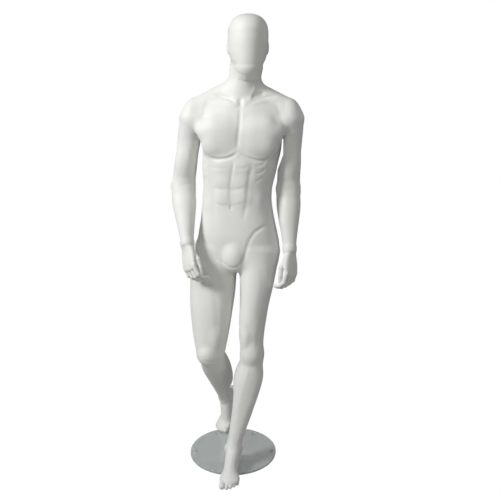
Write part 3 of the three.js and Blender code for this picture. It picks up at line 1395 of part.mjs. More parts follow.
// Fittings, each with its socket side in the piece nearer the hips except at the waist
addFitting('waist', makeFitting(seams.waist, 1, screwedFitting,
  { socket: torsoInside.inner, stud: pelvisInside.inner }, pelvisFront));
addFitting('neck', makeFitting(seams.neck, -1, largeFitting,
  { socket: torsoInside.inner, stud: headInside.inner }, facing(0)));
addFitting('thigh', makeFitting(seams.thigh, -1, screwedFitting,
  { socket: rearLeg.inner, stud: rearLeg.inner }, facing(rearKneeTurn)));
for (const [name, arm] of Object.entries(armSolids)) {
  const shoulder = seams[`${name}_shoulder`];
  const wrist = seams[`${name}_wrist`];
  const torsoSide = beyond(along(shoulder.point, shoulder.normal, seamGap / 2), shoulder.normal.clone().negate());
  const flankTop = at(shoulder.point.x, shoulder.point.y, armpitHeight - underarmDrop);
  const flankNormal = shoulder.normal.clone().applyAxisAngle(chestFrame.front, -underarmTurn * arms[name].spec.side);
  const underarmSide = beyond(along(flankTop, flankNormal, underarmClearance), flankNormal.clone().negate());
  const armOuter = keepBefore(arm.outer.subtract(torsoSide.intersect(underarmSide)), wrist);
  const underBoard = beyond(at(0, 0, armpitHeight - boardDrop), up.clone().negate());
  const innerFace = along(shoulder.point, shoulder.normal, seamGap / 2 + wall);
  const innerFlank = along(flankTop, flankNormal, underarmClearance + wall);
  const innerWall = beyond(innerFace, shoulder.normal.clone().negate())
    .intersect(beyond(innerFlank, flankNormal.clone().negate())).intersect(underBoard);
  addPiece(`${name}_arm_shell`, armOuter.subtract(arm.hollow.subtract(innerWall)), bodyPaint);
  const wristFitting = makeFitting(wrist, -1, smallFitting, { socket: arm.inner }, arms[name].hand.front);
  addPiece(`${name}_hand`, keepAfter(handSolids[name], wrist).subtract(wristFitting.studRecess), bodyPaint);
  addFitting(`${name}_shoulder`, makeFitting(shoulder, -1, shoulderFitting,
    { socket: torsoInside.inner, stud: arm.inner }, up));
  addFitting(`${name}_wrist`, wristFitting);
}

export default mannequin;
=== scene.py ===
"""Looks of the full body mannequin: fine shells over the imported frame, materials, light and camera.
Forms are drawn in millimetres, as signed distances, and turned into meshes in metres."""
import math
from concurrent.futures import ThreadPoolExecutor

import bmesh
import bpy
import numpy as np
import openvdb as vdb
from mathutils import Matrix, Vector


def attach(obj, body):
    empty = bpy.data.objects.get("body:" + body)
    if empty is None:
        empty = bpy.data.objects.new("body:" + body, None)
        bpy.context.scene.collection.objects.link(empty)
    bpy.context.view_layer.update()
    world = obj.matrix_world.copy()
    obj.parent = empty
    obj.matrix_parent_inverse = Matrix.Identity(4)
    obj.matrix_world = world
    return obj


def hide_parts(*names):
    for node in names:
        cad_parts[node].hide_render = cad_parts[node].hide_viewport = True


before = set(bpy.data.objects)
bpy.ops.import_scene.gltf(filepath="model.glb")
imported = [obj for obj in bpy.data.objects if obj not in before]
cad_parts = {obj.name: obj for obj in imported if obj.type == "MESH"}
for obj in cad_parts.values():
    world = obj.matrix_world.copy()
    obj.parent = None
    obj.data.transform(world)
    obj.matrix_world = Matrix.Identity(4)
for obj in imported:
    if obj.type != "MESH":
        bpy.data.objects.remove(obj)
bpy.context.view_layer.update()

REAL = np.float32
UP = np.array((0.0, 0.0, 1.0))


# Vectors and frames
def vec(x, y, z):
    return np.array((x, y, z), float)


def unit(v):
    return v / np.linalg.norm(v)


def facing(turn):
    turn = math.radians(turn)
    return vec(math.sin(turn), -math.cos(turn), 0)


def leaning(side, back, rise=1):
    return unit(vec(math.tan(math.radians(side)), math.tan(math.radians(back)), rise))


class Frame:
    def __init__(self, origin, axis, front):
        self.origin = np.array(origin, float)
        self.ahead = unit(axis)
        self.front = unit(front - self.ahead * front.dot(self.ahead))
        self.side = np.cross(self.ahead, self.front)

    def at(self, ahead, front, side):
        return self.origin + self.ahead * ahead + self.front * front + self.side * side


def swapped(base):
    other = Frame(base.origin, base.ahead, base.front)
    other.front, other.side = base.side, base.front
    return other


def mix(a, b, x):
    return a + (b - a) * x


def eased(x):
    x = np.clip(x, 0, 1)
    return x * x * (3 - 2 * x)


# Forms
CURVE_SAMPLES = 600
LEAST = REAL(1e-3)


def curve(rows, column, start=None, end=None):
    """Samples of a smooth curve through table rows, read against their first column."""
    marks, heights = np.array(rows, float)[:, [0, column]].T
    count = len(marks)
    before, after = np.maximum(np.arange(count) - 1, 0), np.minimum(np.arange(count) + 1, count - 1)
    slopes = (heights[after] - heights[before]) / (marks[after] - marks[before])
    start = rows[0][0] if start is None else start
    end = rows[-1][0] if end is None else end
    places = np.clip(np.linspace(start, end, CURVE_SAMPLES), marks[0], marks[-1])
    low = np.clip(np.searchsorted(marks, places) - 1, 0, count - 2)
    span = marks[low + 1] - marks[low]
    x = (places - marks[low]) / span
    bend = x * (1 - x) * span * (slopes[low] * (1 - x) - slopes[low + 1] * x)
    table = (mix(heights[low], heights[low + 1], eased(x)) + bend).astype(REAL)

    def read(t):
        place = np.clip((t - start) * ((len(table) - 1) / (end - start)), 0, len(table) - 1.001)
        low = place.astype(np.int32)
        part = (place - low).astype(REAL)
        return table[low] * (1 - part) + table[low + 1] * part

    return read


def dot(parts, direction):
    total = REAL(0)
    for part, weight in zip(parts, direction):
        if abs(weight) > 1e-9:
            total = total + part * REAL(weight)
    return total


def moved(x, y, z, origin):
    return x - REAL(origin[0]), y - REAL(origin[1]), z - REAL(origin[2])


def squared(parts):
    return parts[0] * parts[0] + parts[1] * parts[1] + parts[2] * parts[2]


def from_line(x, y, z, start, line):
    """Share along a line of each place's nearest point, and the way from that point to the place."""
    d = moved(x, y, z, start)
    t = np.clip(dot(d, line) / REAL(line.dot(line)), 0, 1)
    return t, [part - t * REAL(way) for part, way in zip(d, line)]


class Form:
    def __init__(self, distance, centre, reach):
        self.distance, self.centre, self.reach = distance, np.array(centre, float), float(reach)


def sectioned(base, length, width, depth, table, power=2.2, cap_power=2, cap_start=None, cap_end=None,
              shift=None, twist=None):
    """A form along a frame. Its table gives half width, front depth and back depth along the length."""
    cap_start = width / 4 if cap_start is None else cap_start
    cap_end = width / 4 if cap_end is None else cap_end
    first, end = table[0][0], table[-1][0]
    half_width, front_depth, back_depth = (curve(table, i) for i in (1, 2, 3))
    shift_read = curve(shift[0], 1, first, end) if shift else None
    twist_read = curve(twist[0], 1, first, end) if twist else None

    def distance(x, y, z):
        d = moved(x, y, z, base.origin)
        run = dot(d, base.ahead) * REAL(1 / length)
        t = np.clip(run, first, end)
        over = (run - t) * REAL(length)
        u = dot(d, base.side)
        v = dot(d, base.front)
        if shift:
            u = u - shift_read(t) * REAL(shift[1])
        if twist:
            angle = twist_read(t) * REAL(twist[1])
            c, s = np.cos(angle), np.sin(angle)
            u, v = u * c - v * s, v * c + u * s
        half = half_width(t) * REAL(width / 2)
        deep = np.where(v > 0, front_depth(t), back_depth(t)) * REAL(depth / 2)
        flat = (np.abs(u / half) ** REAL(power) + np.abs(v / deep) ** REAL(power)) ** REAL(1 / power)
        flat = np.maximum(flat, LEAST)
        cap = np.where(over < 0, REAL(cap_start), REAL(cap_end))
        full = (flat ** REAL(cap_power) + np.abs(over / cap) ** REAL(cap_power)) ** REAL(1 / cap_power)
        return np.sqrt(squared((u, v, over))) * (1 - 1 / np.where(over == 0, flat, full))

    centre = base.origin + base.ahead * (first + end) * length / 2
    longest = (end - first) * length / 2 + max(cap_start, cap_end)
    return Form(distance, centre, math.hypot(longest, max(width, depth) * 0.75))


def muscle(base, place, half, power=2.0):
    """A rounded form at a place of a frame, its half sizes given ahead, to the front and to the side."""
    centre = base.at(*place)
    ways = (base.ahead, base.front, base.side)

    def distance(x, y, z):
        d = moved(x, y, z, centre)
        total = sum(np.abs(dot(d, way) / size) ** power for way, size in zip(ways, half))
        outer = np.maximum(total ** REAL(1 / power), LEAST).astype(REAL)
        return np.sqrt(squared(d)) * (1 - 1 / outer)

    return Form(distance, centre, math.hypot(*half))


def bar(start, end, start_radius, end_radius):
    line = end - start

    def distance(x, y, z):
        t, gap = from_line(x, y, z, start, line)
        return np.sqrt(squared(gap)) - mix(REAL(start_radius), REAL(end_radius), t)

    return Form(distance, (start + end) / 2, np.linalg.norm(line) / 2 + max(start_radius, end_radius))


def chain(joints, radii):
    """Rounded bars from joint to joint, with a small fillet between them."""
    bars = [bar(a, b, float(r), float(s)) for a, b, r, s in zip(joints, joints[1:], radii, radii[1:])]

    def distance(x, y, z):
        total = bars[0].distance(x, y, z)
        for part in bars[1:]:
            d = part.distance(x, y, z)
            overlap = np.maximum(2 - np.abs(total - d), 0)
            total = np.minimum(total, d) - overlap * overlap / 8
        return total

    points = np.array(joints)
    centre = (points.min(0) + points.max(0)) / 2
    return Form(distance, centre, np.linalg.norm(points - centre, axis=1).max() + max(radii))


# Grids
FAR = 60.0
WIDEST_BLEND = 30.0


class Grid:
    """Distances on a regular grid, joined form after form like clay on an armature."""

    def __init__(self, low, high, step):
        self.low, self.step = np.array(low, float), float(step)
        self.count = np.ceil((np.array(high, float) - self.low) / step).astype(int) + 1
        self.values = np.full(self.count, FAR, REAL)

    def axes(self, box):
        return [(self.low[i] + self.step * np.arange(box[i].start, box[i].stop)).astype(REAL).reshape(
            [-1 if j == i else 1 for j in range(3)]) for i in range(3)]

    def box(self, centre, reach):
        low = np.floor((centre - reach - self.low) / self.step).astype(int)
        high = np.ceil((centre + reach - self.low) / self.step).astype(int) + 1
        low, high = np.clip(low, 0, self.count), np.clip(high, 0, self.count)
        if (high <= low).any():
            return None
        return tuple(slice(a, b) for a, b in zip(low, high))

    def join(self, pairs):
        for blend, form in pairs:
            widest = WIDEST_BLEND if callable(blend) else blend
            box = self.box(form.centre, form.reach + widest + 3 * self.step)
            if box is None:
                continue
            x, y, z = self.axes(box)
            d = form.distance(x, y, z)
            total = self.values[box]
            radius = np.asarray(blend(z), REAL) if callable(blend) else REAL(blend)
            overlap = np.maximum(radius - np.abs(total - d), 0)
            fillet = np.where(radius > 0, overlap * overlap / np.maximum(4 * radius, REAL(1e-6)), 0)
            joined = np.minimum(total, d) - fillet
            self.values[box] = np.where(radius >= 0, joined, total)
        return self

    def each(self, blend, forms):
        """Adds forms that each blend with what is there, but not with one another."""
        base, least = self.values, self.values.copy()
        for form in forms:
            self.values = base.copy()
            self.join([(blend, form)])
            least = np.minimum(least, self.values)
        self.values = least
        return self

    def cut(self, point, normal):
        """Takes away what lies beyond a plane."""
        x, y, z = self.axes(tuple(slice(0, n) for n in self.count))
        d = dot(moved(x, y, z, point), unit(normal))
        self.values = np.maximum(self.values, d)

    def at(self, points):
        """Distances at points in mm, blended between the places of the grid."""
        place = np.clip((points - self.low) / self.step, 0, self.count - 1.001)
        first = place.astype(int)
        part = place - first
        total = np.zeros(len(points))
        for corner in np.ndindex(2, 2, 2):
            i, j, k = (first + corner).T
            total += np.where(corner, part, 1 - part).prod(1) * self.values[i, j, k]
        return total

    def surface(self):
        grid = vdb.FloatGrid(FAR)
        grid.copyFromArray(np.clip(self.values, -FAR, FAR))
        points, triangles, quads = grid.convertToPolygons(0.0, 0.0)
        places = self.low + points * self.step
        return places, [[int(i) for i in reversed(face)] for face in (*quads, *triangles)]


# Skeleton
TOUCH = 0.3
GLASS_TOP = 16.0
ANKLE_HEIGHT, SHIN, THIGH = 84.0, 417.0, 435.0
TRUNK, CHEST_WIDTH, CHEST_DEPTH = 612.0, 336.0, 212.0
HALF, DEEP = CHEST_WIDTH / 2, CHEST_DEPTH / 2
PELVIS_TURN, SWAY = -11.0, 20.0
NECK_LENGTH, NECK_WIDTH, NECK_DEPTH = 165.0, 126.0, 118.0
HEAD_HEIGHT, HEAD_WIDTH, HEAD_DEPTH = 226.0, 160.0, 206.0
HEAD_SIDE, HEAD_FORWARD, HEAD_TURN = 21.0, 6.0, 5.0
THIGH_WIDTH, THIGH_DEPTH, REAR_WIDTH, REAR_DEPTH = 160.0, 180.0, 192.0, 172.0
SHIN_WIDTH, SHIN_DEPTH = 112.0, 124.0
FOOT_LENGTH, FOOT_WIDTH, HEEL = 246.0, 80.0, 54.0
ARM, FOREARM, ARM_WIDTH, ARM_DEPTH = 280.0, 252.0, 96.0, 100.0
HAND, PALM_WIDTH, PALM_THICK, FINGER = 188.0, 84.0, 31.0, 9.2
FINGER_BENDS = (24, 40, 30)

front_ankle = vec(4, -122, GLASS_TOP + TOUCH + ANKLE_HEIGHT)
front_knee = front_ankle + leaning(10.6, 7.5) * SHIN
front_hip = front_knee + leaning(4.4, 7.6) * THIGH
pelvis_front = facing(PELVIS_TURN)
pelvis_side = unit(vec(-pelvis_front[1], pelvis_front[0], math.tan(math.radians(2))))
pelvis = front_hip - pelvis_side * 88
rear_hip = pelvis - pelvis_side * 102
neck_root = vec(pelvis[0] + SWAY, pelvis[1] + SWAY / 2, pelvis[2] + TRUNK)


def bent_joint(top, bottom, upper, lower, towards):
    line = bottom - top
    span = np.linalg.norm(line)
    run = (upper ** 2 - lower ** 2 + span ** 2) / (2 * span)
    return Frame(top, line, towards).at(run, math.sqrt(max(upper ** 2 - run ** 2, 0)), 0)


def foot_frame(ankle, turn, pitch):
    pitch = math.radians(pitch)
    return Frame(ankle, facing(turn) * math.cos(pitch) - UP * math.sin(pitch), UP)


TOE_REACH = FOOT_LENGTH - HEEL
BALL_SHARE = 0.66
BALL = ANKLE_HEIGHT * 0.2
REAR_PITCH = 60.0
rear_drop = (BALL + BALL_SHARE * TOE_REACH * math.sin(math.radians(REAR_PITCH))
             + (ANKLE_HEIGHT - BALL) * math.cos(math.radians(REAR_PITCH)))
rear_ankle = vec(-42, 206, GLASS_TOP + 2 + rear_drop)
rear_knee = bent_joint(rear_hip, rear_ankle, THIGH, SHIN, facing(-12))
front_foot = foot_frame(front_ankle, -5, 0)
rear_foot = foot_frame(rear_ankle, -24, REAR_PITCH)

trunk_frame = Frame(pelvis, UP, facing(0))
chest = Frame(vec(pelvis[0] + SWAY * 0.8, pelvis[1], pelvis[2]), UP, facing(PELVIS_TURN / 2))
hips = Frame(pelvis, UP, pelvis_front)


def shares(height, front, side):
    """A place or a size, given in shares of the trunk's height, half depth and half width."""
    return (height * TRUNK, front * DEEP, side * HALF)


def on_chest(*place):
    return chest.at(*shares(*place))


def on_hips(*place):
    return hips.at(*shares(*place))


def chest_bar(start, end, start_radius, end_radius):
    return bar(on_chest(*start), on_chest(*end), DEEP * start_radius, DEEP * end_radius)


# Trunk
TRUNK_SHARES = [
    (-0.05, 0.93, 0.80, 0.92), (0.05, 1.01, 0.89, 0.98), (0.12, 0.975, 0.92, 0.92), (0.2, 0.915, 0.90, 0.82),
    (0.29, 0.865, 0.86, 0.74), (0.37, 0.835, 0.85, 0.72), (0.45, 0.84, 0.87, 0.77), (0.54, 0.885, 0.92, 0.86),
    (0.63, 0.91, 0.95, 0.94), (0.73, 0.915, 0.96, 0.98), (0.82, 0.925, 0.93, 0.97), (0.9, 0.91, 0.78, 0.88),
    (0.96, 0.76, 0.6, 0.74), (1.01, 0.5, 0.42, 0.56)]
SWAY_SHARES = [(-0.05, 0), (0.2, -0.1), (0.37, -0.2), (0.55, 0.3), (0.75, 0.85), (1.01, 1)]
TWIST_SHARES = [(-0.05, 1), (0.35, 1), (0.75, 0.5)]
trunk = sectioned(trunk_frame, TRUNK, CHEST_WIDTH, CHEST_DEPTH, TRUNK_SHARES, power=2.35,
                  cap_start=CHEST_DEPTH / 4, cap_end=CHEST_DEPTH / 4, shift=(SWAY_SHARES, SWAY),
                  twist=(TWIST_SHARES, math.radians(PELVIS_TURN)))
BLEND = CHEST_WIDTH / 12


def chest_muscles(s):
    return [
        (BLEND * 0.9, chest_bar((0.9, 0.02, s * 0.3), (0.885, 0, s * 1.1), 0.62, 0.52)),
        (BLEND, chest_bar((1.062, -0.14, s * 0.24), (0.954, -0.02, s * 1.05), 0.34, 0.33)),
        (BLEND * 0.5, muscle(chest, shares(0.768, 0.4, s * 0.455), shares(0.146, 0.62, 0.48), 2.6)),
        (BLEND * 0.6, chest_bar((0.972, 0.52, s * 0.12), (0.985, 0.16, s * 0.85), 0.075, 0.05)),
        (BLEND, muscle(chest, shares(0.8, -0.76, s * 0.42), shares(0.13, 0.24, 0.4))),
        (BLEND, muscle(chest, shares(0.72, -0.3, s * 0.66), shares(0.13, 0.6, 0.23))),
    ]


def belly_muscles(s):
    return [(BLEND * 0.7, muscle(hips, shares(height, front, s * 0.2 - 0.02), shares(0.062, 0.25, 0.2), 2.4))
            for height, front in ((0.585, 0.635), (0.485, 0.62), (0.385, 0.61))]


def glute(s):
    return (BLEND * 0.8, muscle(hips, shares(-0.005, -0.58, s * 0.48), shares(0.135, 0.5, 0.48)))


def shoulder_fill(s):
    return [(BLEND * 0.8, chest_bar((0.8, 0.5, s * 0.76), (0.875, 0.25, s * 1.1), 0.32, 0.25)),
            (BLEND * 0.9, chest_bar((0.8, -0.5, s * 0.885), (0.8, 0.54, s * 0.87), 0.15, 0.2)),
            (BLEND * 0.8, chest_bar((0.79, -0.52, s * 0.78), (0.88, -0.34, s * 1.1), 0.3, 0.26))]


groin = (BLEND * 0.6, muscle(hips, shares(-0.012, 0.64, 0), shares(0.108, 0.42, 0.3)))
torso_forms = [(0, trunk), *chest_muscles(-1), *chest_muscles(1), *belly_muscles(-1), *belly_muscles(1)]

# Neck and head
neck_top = vec(neck_root[0] + HEAD_SIDE * 0.9, neck_root[1] - HEAD_FORWARD, neck_root[2] + NECK_LENGTH)
neck_frame = Frame(neck_root, neck_top - neck_root, facing(0))
NECK_SHARES = [
    (-0.35, 1.0, 0.95, 1.0), (0.2, 1.02, 0.98, 1.02), (0.5, 0.98, 0.96, 1.0), (0.8, 0.99, 0.98, 1.06),
    (1.1, 1.02, 0.9, 1.1)]
neck = sectioned(neck_frame, NECK_LENGTH, NECK_WIDTH, NECK_DEPTH, NECK_SHARES, power=2,
                 cap_start=NECK_WIDTH / 6, cap_end=NECK_WIDTH / 6)
head_root = vec(neck_root[0] + HEAD_SIDE, neck_root[1] - HEAD_FORWARD - NECK_DEPTH / 8,
                neck_root[2] + TRUNK * 0.157)
head_frame = Frame(head_root, UP, facing(HEAD_TURN))
HEAD_SHARES = [
    (0.135, 0.64, 0.78, 0.45), (0.22, 0.81, 0.89, 0.61), (0.3, 0.885, 0.955, 0.76), (0.4, 0.93, 0.985, 0.9),
    (0.5, 0.955, 1.0, 0.97), (0.58, 0.965, 1.0, 1.0), (0.64, 0.965, 0.985, 1.0)]
head = sectioned(head_frame, HEAD_HEIGHT, HEAD_WIDTH, HEAD_DEPTH, HEAD_SHARES, power=2.08, cap_power=2.35,
                 cap_start=HEAD_HEIGHT * 0.15, cap_end=HEAD_HEIGHT * 0.33)
chin = (HEAD_WIDTH / 4.3, muscle(head_frame, (HEAD_HEIGHT * 0.12, HEAD_DEPTH * 0.22, 0),
                                 (HEAD_HEIGHT * 0.16, HEAD_DEPTH * 0.2, HEAD_WIDTH * 0.25), 2.2))
throat = (BLEND * 0.8, bar(neck_frame.at(NECK_LENGTH * 0.35, NECK_DEPTH * 0.1, 0),
                           head_frame.at(HEAD_HEIGHT * 0.12, HEAD_DEPTH * 0.15, 0),
                           NECK_DEPTH * 0.36, NECK_DEPTH * 0.34))


def ear(s):
    place = (HEAD_HEIGHT * 0.43, -HEAD_DEPTH * 0.05, s * HEAD_WIDTH * 0.465)
    half = (HEAD_HEIGHT * 0.11, HEAD_DEPTH * 0.065, HEAD_WIDTH * 0.045)
    return (HEAD_WIDTH / 18, muscle(head_frame, place, half))


def neck_cord(s):
    return (BLEND * 0.6, bar(neck_frame.at(NECK_LENGTH * 0.75, -NECK_DEPTH * 0.08, s * NECK_WIDTH * 0.4),
                             on_chest(0.98, 0.4, s * 0.1), NECK_DEPTH * 0.08, NECK_DEPTH * 0.05))


# Arms and hands
ARM_SHARES = [
    (0, 0.92, 1.02, 1.0), (0.12, 0.98, 1.04, 1.02), (0.3, 0.95, 0.98, 0.96), (0.5, 0.9, 1.0, 0.96),
    (0.7, 0.94, 0.97, 0.92), (0.9, 0.95, 0.91, 0.86), (1.0, 0.9, 0.86, 0.82)]
FOREARM_SHARES = [
    (0, 0.9, 0.84, 0.82), (0.12, 1.0, 0.9, 0.84), (0.3, 1.0, 0.9, 0.82), (0.5, 0.86, 0.8, 0.74),
    (0.7, 0.7, 0.68, 0.64), (0.88, 0.57, 0.6, 0.58), (1.0, 0.53, 0.58, 0.56)]
PALM_SHARES = [
    (-0.12, 0.67, 1.56, 1.56), (0.08, 0.7, 1.4, 1.4), (0.3, 0.86, 1.05, 1.1), (0.6, 0.98, 0.98, 1.0),
    (0.9, 0.96, 0.86, 0.82), (1.0, 0.9, 0.7, 0.7)]
FINGER_SHARES = [(0.38, 0.92, 1.0), (0.13, 1.0, 1.03), (-0.12, 0.94, 0.98), (-0.36, 0.76, 0.86)]
THUMB_SHARES = [(0.2, 0.1, 0.07), (0.17, 0.0, 0.04), (0.13, -0.02, 0.03)]
armpit_height = float(on_chest(0.805, 0, 0)[2])
CLOSING_SLOPE, CLOSING_HEIGHT = REAL(0.8), REAL(armpit_height - 14)


def closing_below(pair):
    """A form that draws in below the armpit."""
    radius, form = pair

    def distance(x, y, z):
        return form.distance(x, y, z) + CLOSING_SLOPE * np.maximum(CLOSING_HEIGHT - z, 0)

    return radius, Form(distance, form.centre, form.reach)


def armpit_blend(z):
    return BLEND * eased((z - armpit_height + 20) / (DEEP * 0.75))


class Arm:
    def __init__(self, side, reach, upper, lower, hand, elbow_turn, palm_turn):
        self.side = side
        self.top = on_chest(0.875, -0.05, side * reach)
        self.elbow = self.top + leaning(*upper, -1) * ARM
        self.wrist = self.elbow + leaning(*lower, -1) * FOREARM
        self.upper = Frame(self.top, self.elbow - self.top, facing(elbow_turn))
        self.lower = Frame(self.elbow, self.wrist - self.elbow, facing(elbow_turn))
        self.hand = Frame(self.wrist, leaning(*hand, -1), facing(palm_turn))
        blend = ARM_WIDTH / 3
        self.forms = [
            (0, sectioned(self.upper, ARM, ARM_WIDTH, ARM_DEPTH, ARM_SHARES)),
            (blend * 0.9, sectioned(self.lower, FOREARM, ARM_WIDTH, ARM_DEPTH, FOREARM_SHARES,
                                    cap_start=ARM_WIDTH / 4, cap_end=ARM_WIDTH / 8)),
            (blend * 0.6, muscle(chest, shares(0.866, -0.03, side * (reach - 0.03)),
                                 (ARM * 0.27, DEEP * 0.53, ARM_WIDTH * 0.45))),
            (blend * 0.5, muscle(self.upper, (ARM * 0.6, ARM_DEPTH * 0.2, 0),
                                 (ARM * 0.26, ARM_DEPTH * 0.33, ARM_WIDTH * 0.38))),
        ]
        self.palm_frame = swapped(self.hand)
        palm_length = HAND * 0.5
        self.palm = sectioned(self.palm_frame, palm_length, PALM_WIDTH, PALM_THICK, PALM_SHARES, power=2.3,
                              cap_start=PALM_THICK / 2, cap_end=PALM_THICK / 2)
        self.fingers = []
        for row in FINGER_SHARES:
            joints = [self.hand.at(palm_length * (0.9 + row[1] * 0.08), row[0] * PALM_WIDTH, 0)]
            bend = 0
            for share, turn in zip((0.46, 0.3, 0.24), FINGER_BENDS):
                bend += math.radians(turn)
                way = self.hand.ahead * math.cos(bend) + self.hand.side * (side * math.sin(bend))
                joints.append(joints[-1] + way * (HAND - palm_length) * row[1] * share)
            self.fingers.append((joints, FINGER * row[2]))
        joints = [self.hand.at(HAND * 0.16, PALM_WIDTH * 0.22, side * PALM_THICK * 0.2)]
        for ahead, front, across in THUMB_SHARES:
            joints.append(joints[-1] + self.hand.ahead * HAND * ahead + self.hand.front * HAND * front
                          + self.hand.side * (side * HAND * across))
        self.fingers.append((joints, FINGER * 1.12))


arms = {
    "left": Arm(1, 1.165, (-1.7, 4), (1.2, -19), (3.5, -17), 8, -36),
    "right": Arm(-1, 1.195, (-9, 4), (6.5, -31), (7, -27), -8, 36),
}

# Legs
FRONT_THIGH = [
    (0, 1.02, 0.98, 1.02), (0.12, 0.98, 1.0, 1.04), (0.3, 0.88, 1.02, 1.0), (0.5, 0.76, 0.98, 0.9),
    (0.7, 0.69, 0.88, 0.8), (0.88, 0.615, 0.74, 0.71), (1.0, 0.54, 0.64, 0.66)]
REAR_THIGH = [
    (0, 0.96, 0.98, 1.04), (0.2, 0.99, 1.0, 1.02), (0.4, 0.98, 0.98, 0.96), (0.6, 0.9, 0.94, 0.88),
    (0.8, 0.78, 0.84, 0.82), (0.93, 0.67, 0.76, 0.77), (1.0, 0.58, 0.7, 0.73)]
SHIN_SHARES = [
    (0, 0.77, 0.88, 0.95), (0.1, 0.86, 0.84, 1.0), (0.24, 1.0, 0.8, 1.14), (0.4, 0.94, 0.72, 1.1),
    (0.58, 0.79, 0.64, 0.86), (0.76, 0.64, 0.56, 0.66), (0.9, 0.55, 0.54, 0.64), (1.0, 0.56, 0.56, 0.66)]
FRONT_SHIN_BOW = [(0, -0.04), (0.09, -0.08), (0.18, -0.11), (0.3, -0.1), (0.5, -0.08), (0.68, -0.06),
                  (0.85, -0.02), (1, 0)]
REAR_SHIN_BOW = [(0, -0.01), (0.2, -0.01), (0.4, 0), (0.7, 0.01), (1, 0)]
FRONT_THIGH_BOW = [(0, 0), (0.3, 0), (0.6, 0.03), (0.8, 0.03), (1, -0.02)]
REAR_THIGH_BOW = [(0, 0), (0.3, 0), (0.6, 0.01), (1, -0.01)]
TOE_SHARES = [(0.34, 1.0, 0.17, 0.155), (0.1, 0.985, 0.13, 0.105), (-0.08, 0.945, 0.12, 0.1),
              (-0.245, 0.885, 0.11, 0.095), (-0.4, 0.815, 0.1, 0.095)]


class Foot:
    def __init__(self, base, inner, toe_lift):
        self.frame, self.inner = base, inner
        self.ball = base.at(BALL_SHARE * TOE_REACH, BALL - ANKLE_HEIGHT, 0)
        lift = math.radians(toe_lift)
        ahead = base.ahead * math.cos(lift) + base.front * math.sin(lift)
        self.toe_frame = Frame(self.ball, ahead, base.front)
        wide, tall = FOOT_WIDTH / 2, ANKLE_HEIGHT
        place, spot = self.place, self.spot
        ball = (TOE_REACH * 0.22, tall * 0.26, wide * 0.98)
        ankle_bone = (wide * 0.28, wide * 0.33, wide * 0.18)
        self.solid = [
            (FOOT_WIDTH / 4, muscle(base, place(-0.07, 0.37, 0), (HEEL * 0.75, tall * 0.42, wide * 0.84))),
            (FOOT_WIDTH / 4, bar(spot(0.03, 0.85, 0), spot(0.6, 0.3, 0.1), wide * 0.76, wide * 0.52)),
            (FOOT_WIDTH / 5, bar(spot(0.0, 0.36, 0), spot(0.62, 0.24, 0), wide * 0.72, wide * 0.56)),
            (FOOT_WIDTH / 5, muscle(base, place(0.64, 0.2, 0.02), ball)),
            (FOOT_WIDTH / 6, muscle(self.toe_frame, (TOE_REACH * 0.07, 0, 0),
                                    (TOE_REACH * 0.16, BALL * 1.05, wide * 0.96))),
            (FOOT_WIDTH / 8, muscle(base, place(0.02, 0.92, 0.38), ankle_bone)),
            (FOOT_WIDTH / 8, muscle(base, place(-0.05, 0.84, -0.4), ankle_bone)),
        ]
        self.toes = []
        for side, reach, length, share in TOE_SHARES:
            radius = share * FOOT_WIDTH
            tip = self.toe_spot(reach - radius / TOE_REACH, radius * 0.95 / ANKLE_HEIGHT, side)
            root = self.toe_spot(reach - length * 1.6, 0.2, side * 0.94)
            self.toes.append(chain([root, tip], [radius * 0.9, radius]))

    def place(self, ahead, height, side):
        return (ahead * TOE_REACH, (height - 1) * ANKLE_HEIGHT, self.inner * side * FOOT_WIDTH)

    def spot(self, *place):
        return self.frame.at(*self.place(*place))

    def toe_spot(self, ahead, height, side):
        return self.toe_frame.at((ahead - BALL_SHARE) * TOE_REACH, height * ANKLE_HEIGHT - BALL,
                                 self.inner * side * FOOT_WIDTH)


class Leg:
    def __init__(self, hip, knee, ankle, front, foot, width, depth, table, thigh_bow, shin_bow):
        self.foot = foot
        self.upper = Frame(hip, knee - hip, front)
        lower = Frame(knee, ankle - knee, front)
        blend = THIGH_WIDTH / 4
        inner = foot.inner
        kneecap = 0.29 if inner > 0 else 0.24
        calf = (0.28, 0.18, 0.2, 0.28) if inner > 0 else (0.46, 0.23, 0.36, 0.29)
        self.forms = [
            (BLEND, sectioned(self.upper, THIGH, width, depth, table, cap_start=width / 4,
                              cap_end=SHIN_WIDTH / 3, shift=(thigh_bow, THIGH_WIDTH))),
            (blend * 0.8, sectioned(lower, SHIN, SHIN_WIDTH, SHIN_DEPTH, SHIN_SHARES,
                                    cap_start=SHIN_WIDTH / 3, cap_end=SHIN_WIDTH / 6,
                                    shift=(shin_bow, SHIN_WIDTH))),
            (blend * 0.7, muscle(lower, (-SHIN * 0.045, SHIN_DEPTH * kneecap, 0),
                                 (SHIN * 0.1, SHIN_DEPTH * 0.22, SHIN_WIDTH * 0.27))),
            (blend * 0.4, muscle(self.upper, (THIGH * 0.8, depth * 0.16, inner * width * 0.16),
                                 (THIGH * 0.15, depth * 0.24, width * 0.16))),
            (blend * 0.5, muscle(lower, (SHIN * calf[0], -SHIN_DEPTH * 0.22, inner * SHIN_WIDTH * calf[1]),
                                 (SHIN * calf[2], SHIN_DEPTH * 0.3, SHIN_WIDTH * calf[3]))),
            *foot.solid,
        ]


legs = {
    "front": Leg(front_hip, front_knee, front_ankle, facing(-2), Foot(front_foot, 1, 0),
                 THIGH_WIDTH, THIGH_DEPTH, FRONT_THIGH, FRONT_THIGH_BOW, FRONT_SHIN_BOW),
    "rear": Leg(rear_hip, rear_knee, rear_ankle, facing(-12), Foot(rear_foot, -1, REAR_PITCH),
                REAR_WIDTH, REAR_DEPTH, REAR_THIGH, REAR_THIGH_BOW, REAR_SHIN_BOW),
}
crotch = on_hips(-0.135, 0, 0)[2]
front_leg, rear_leg = legs["front"], legs["rear"]


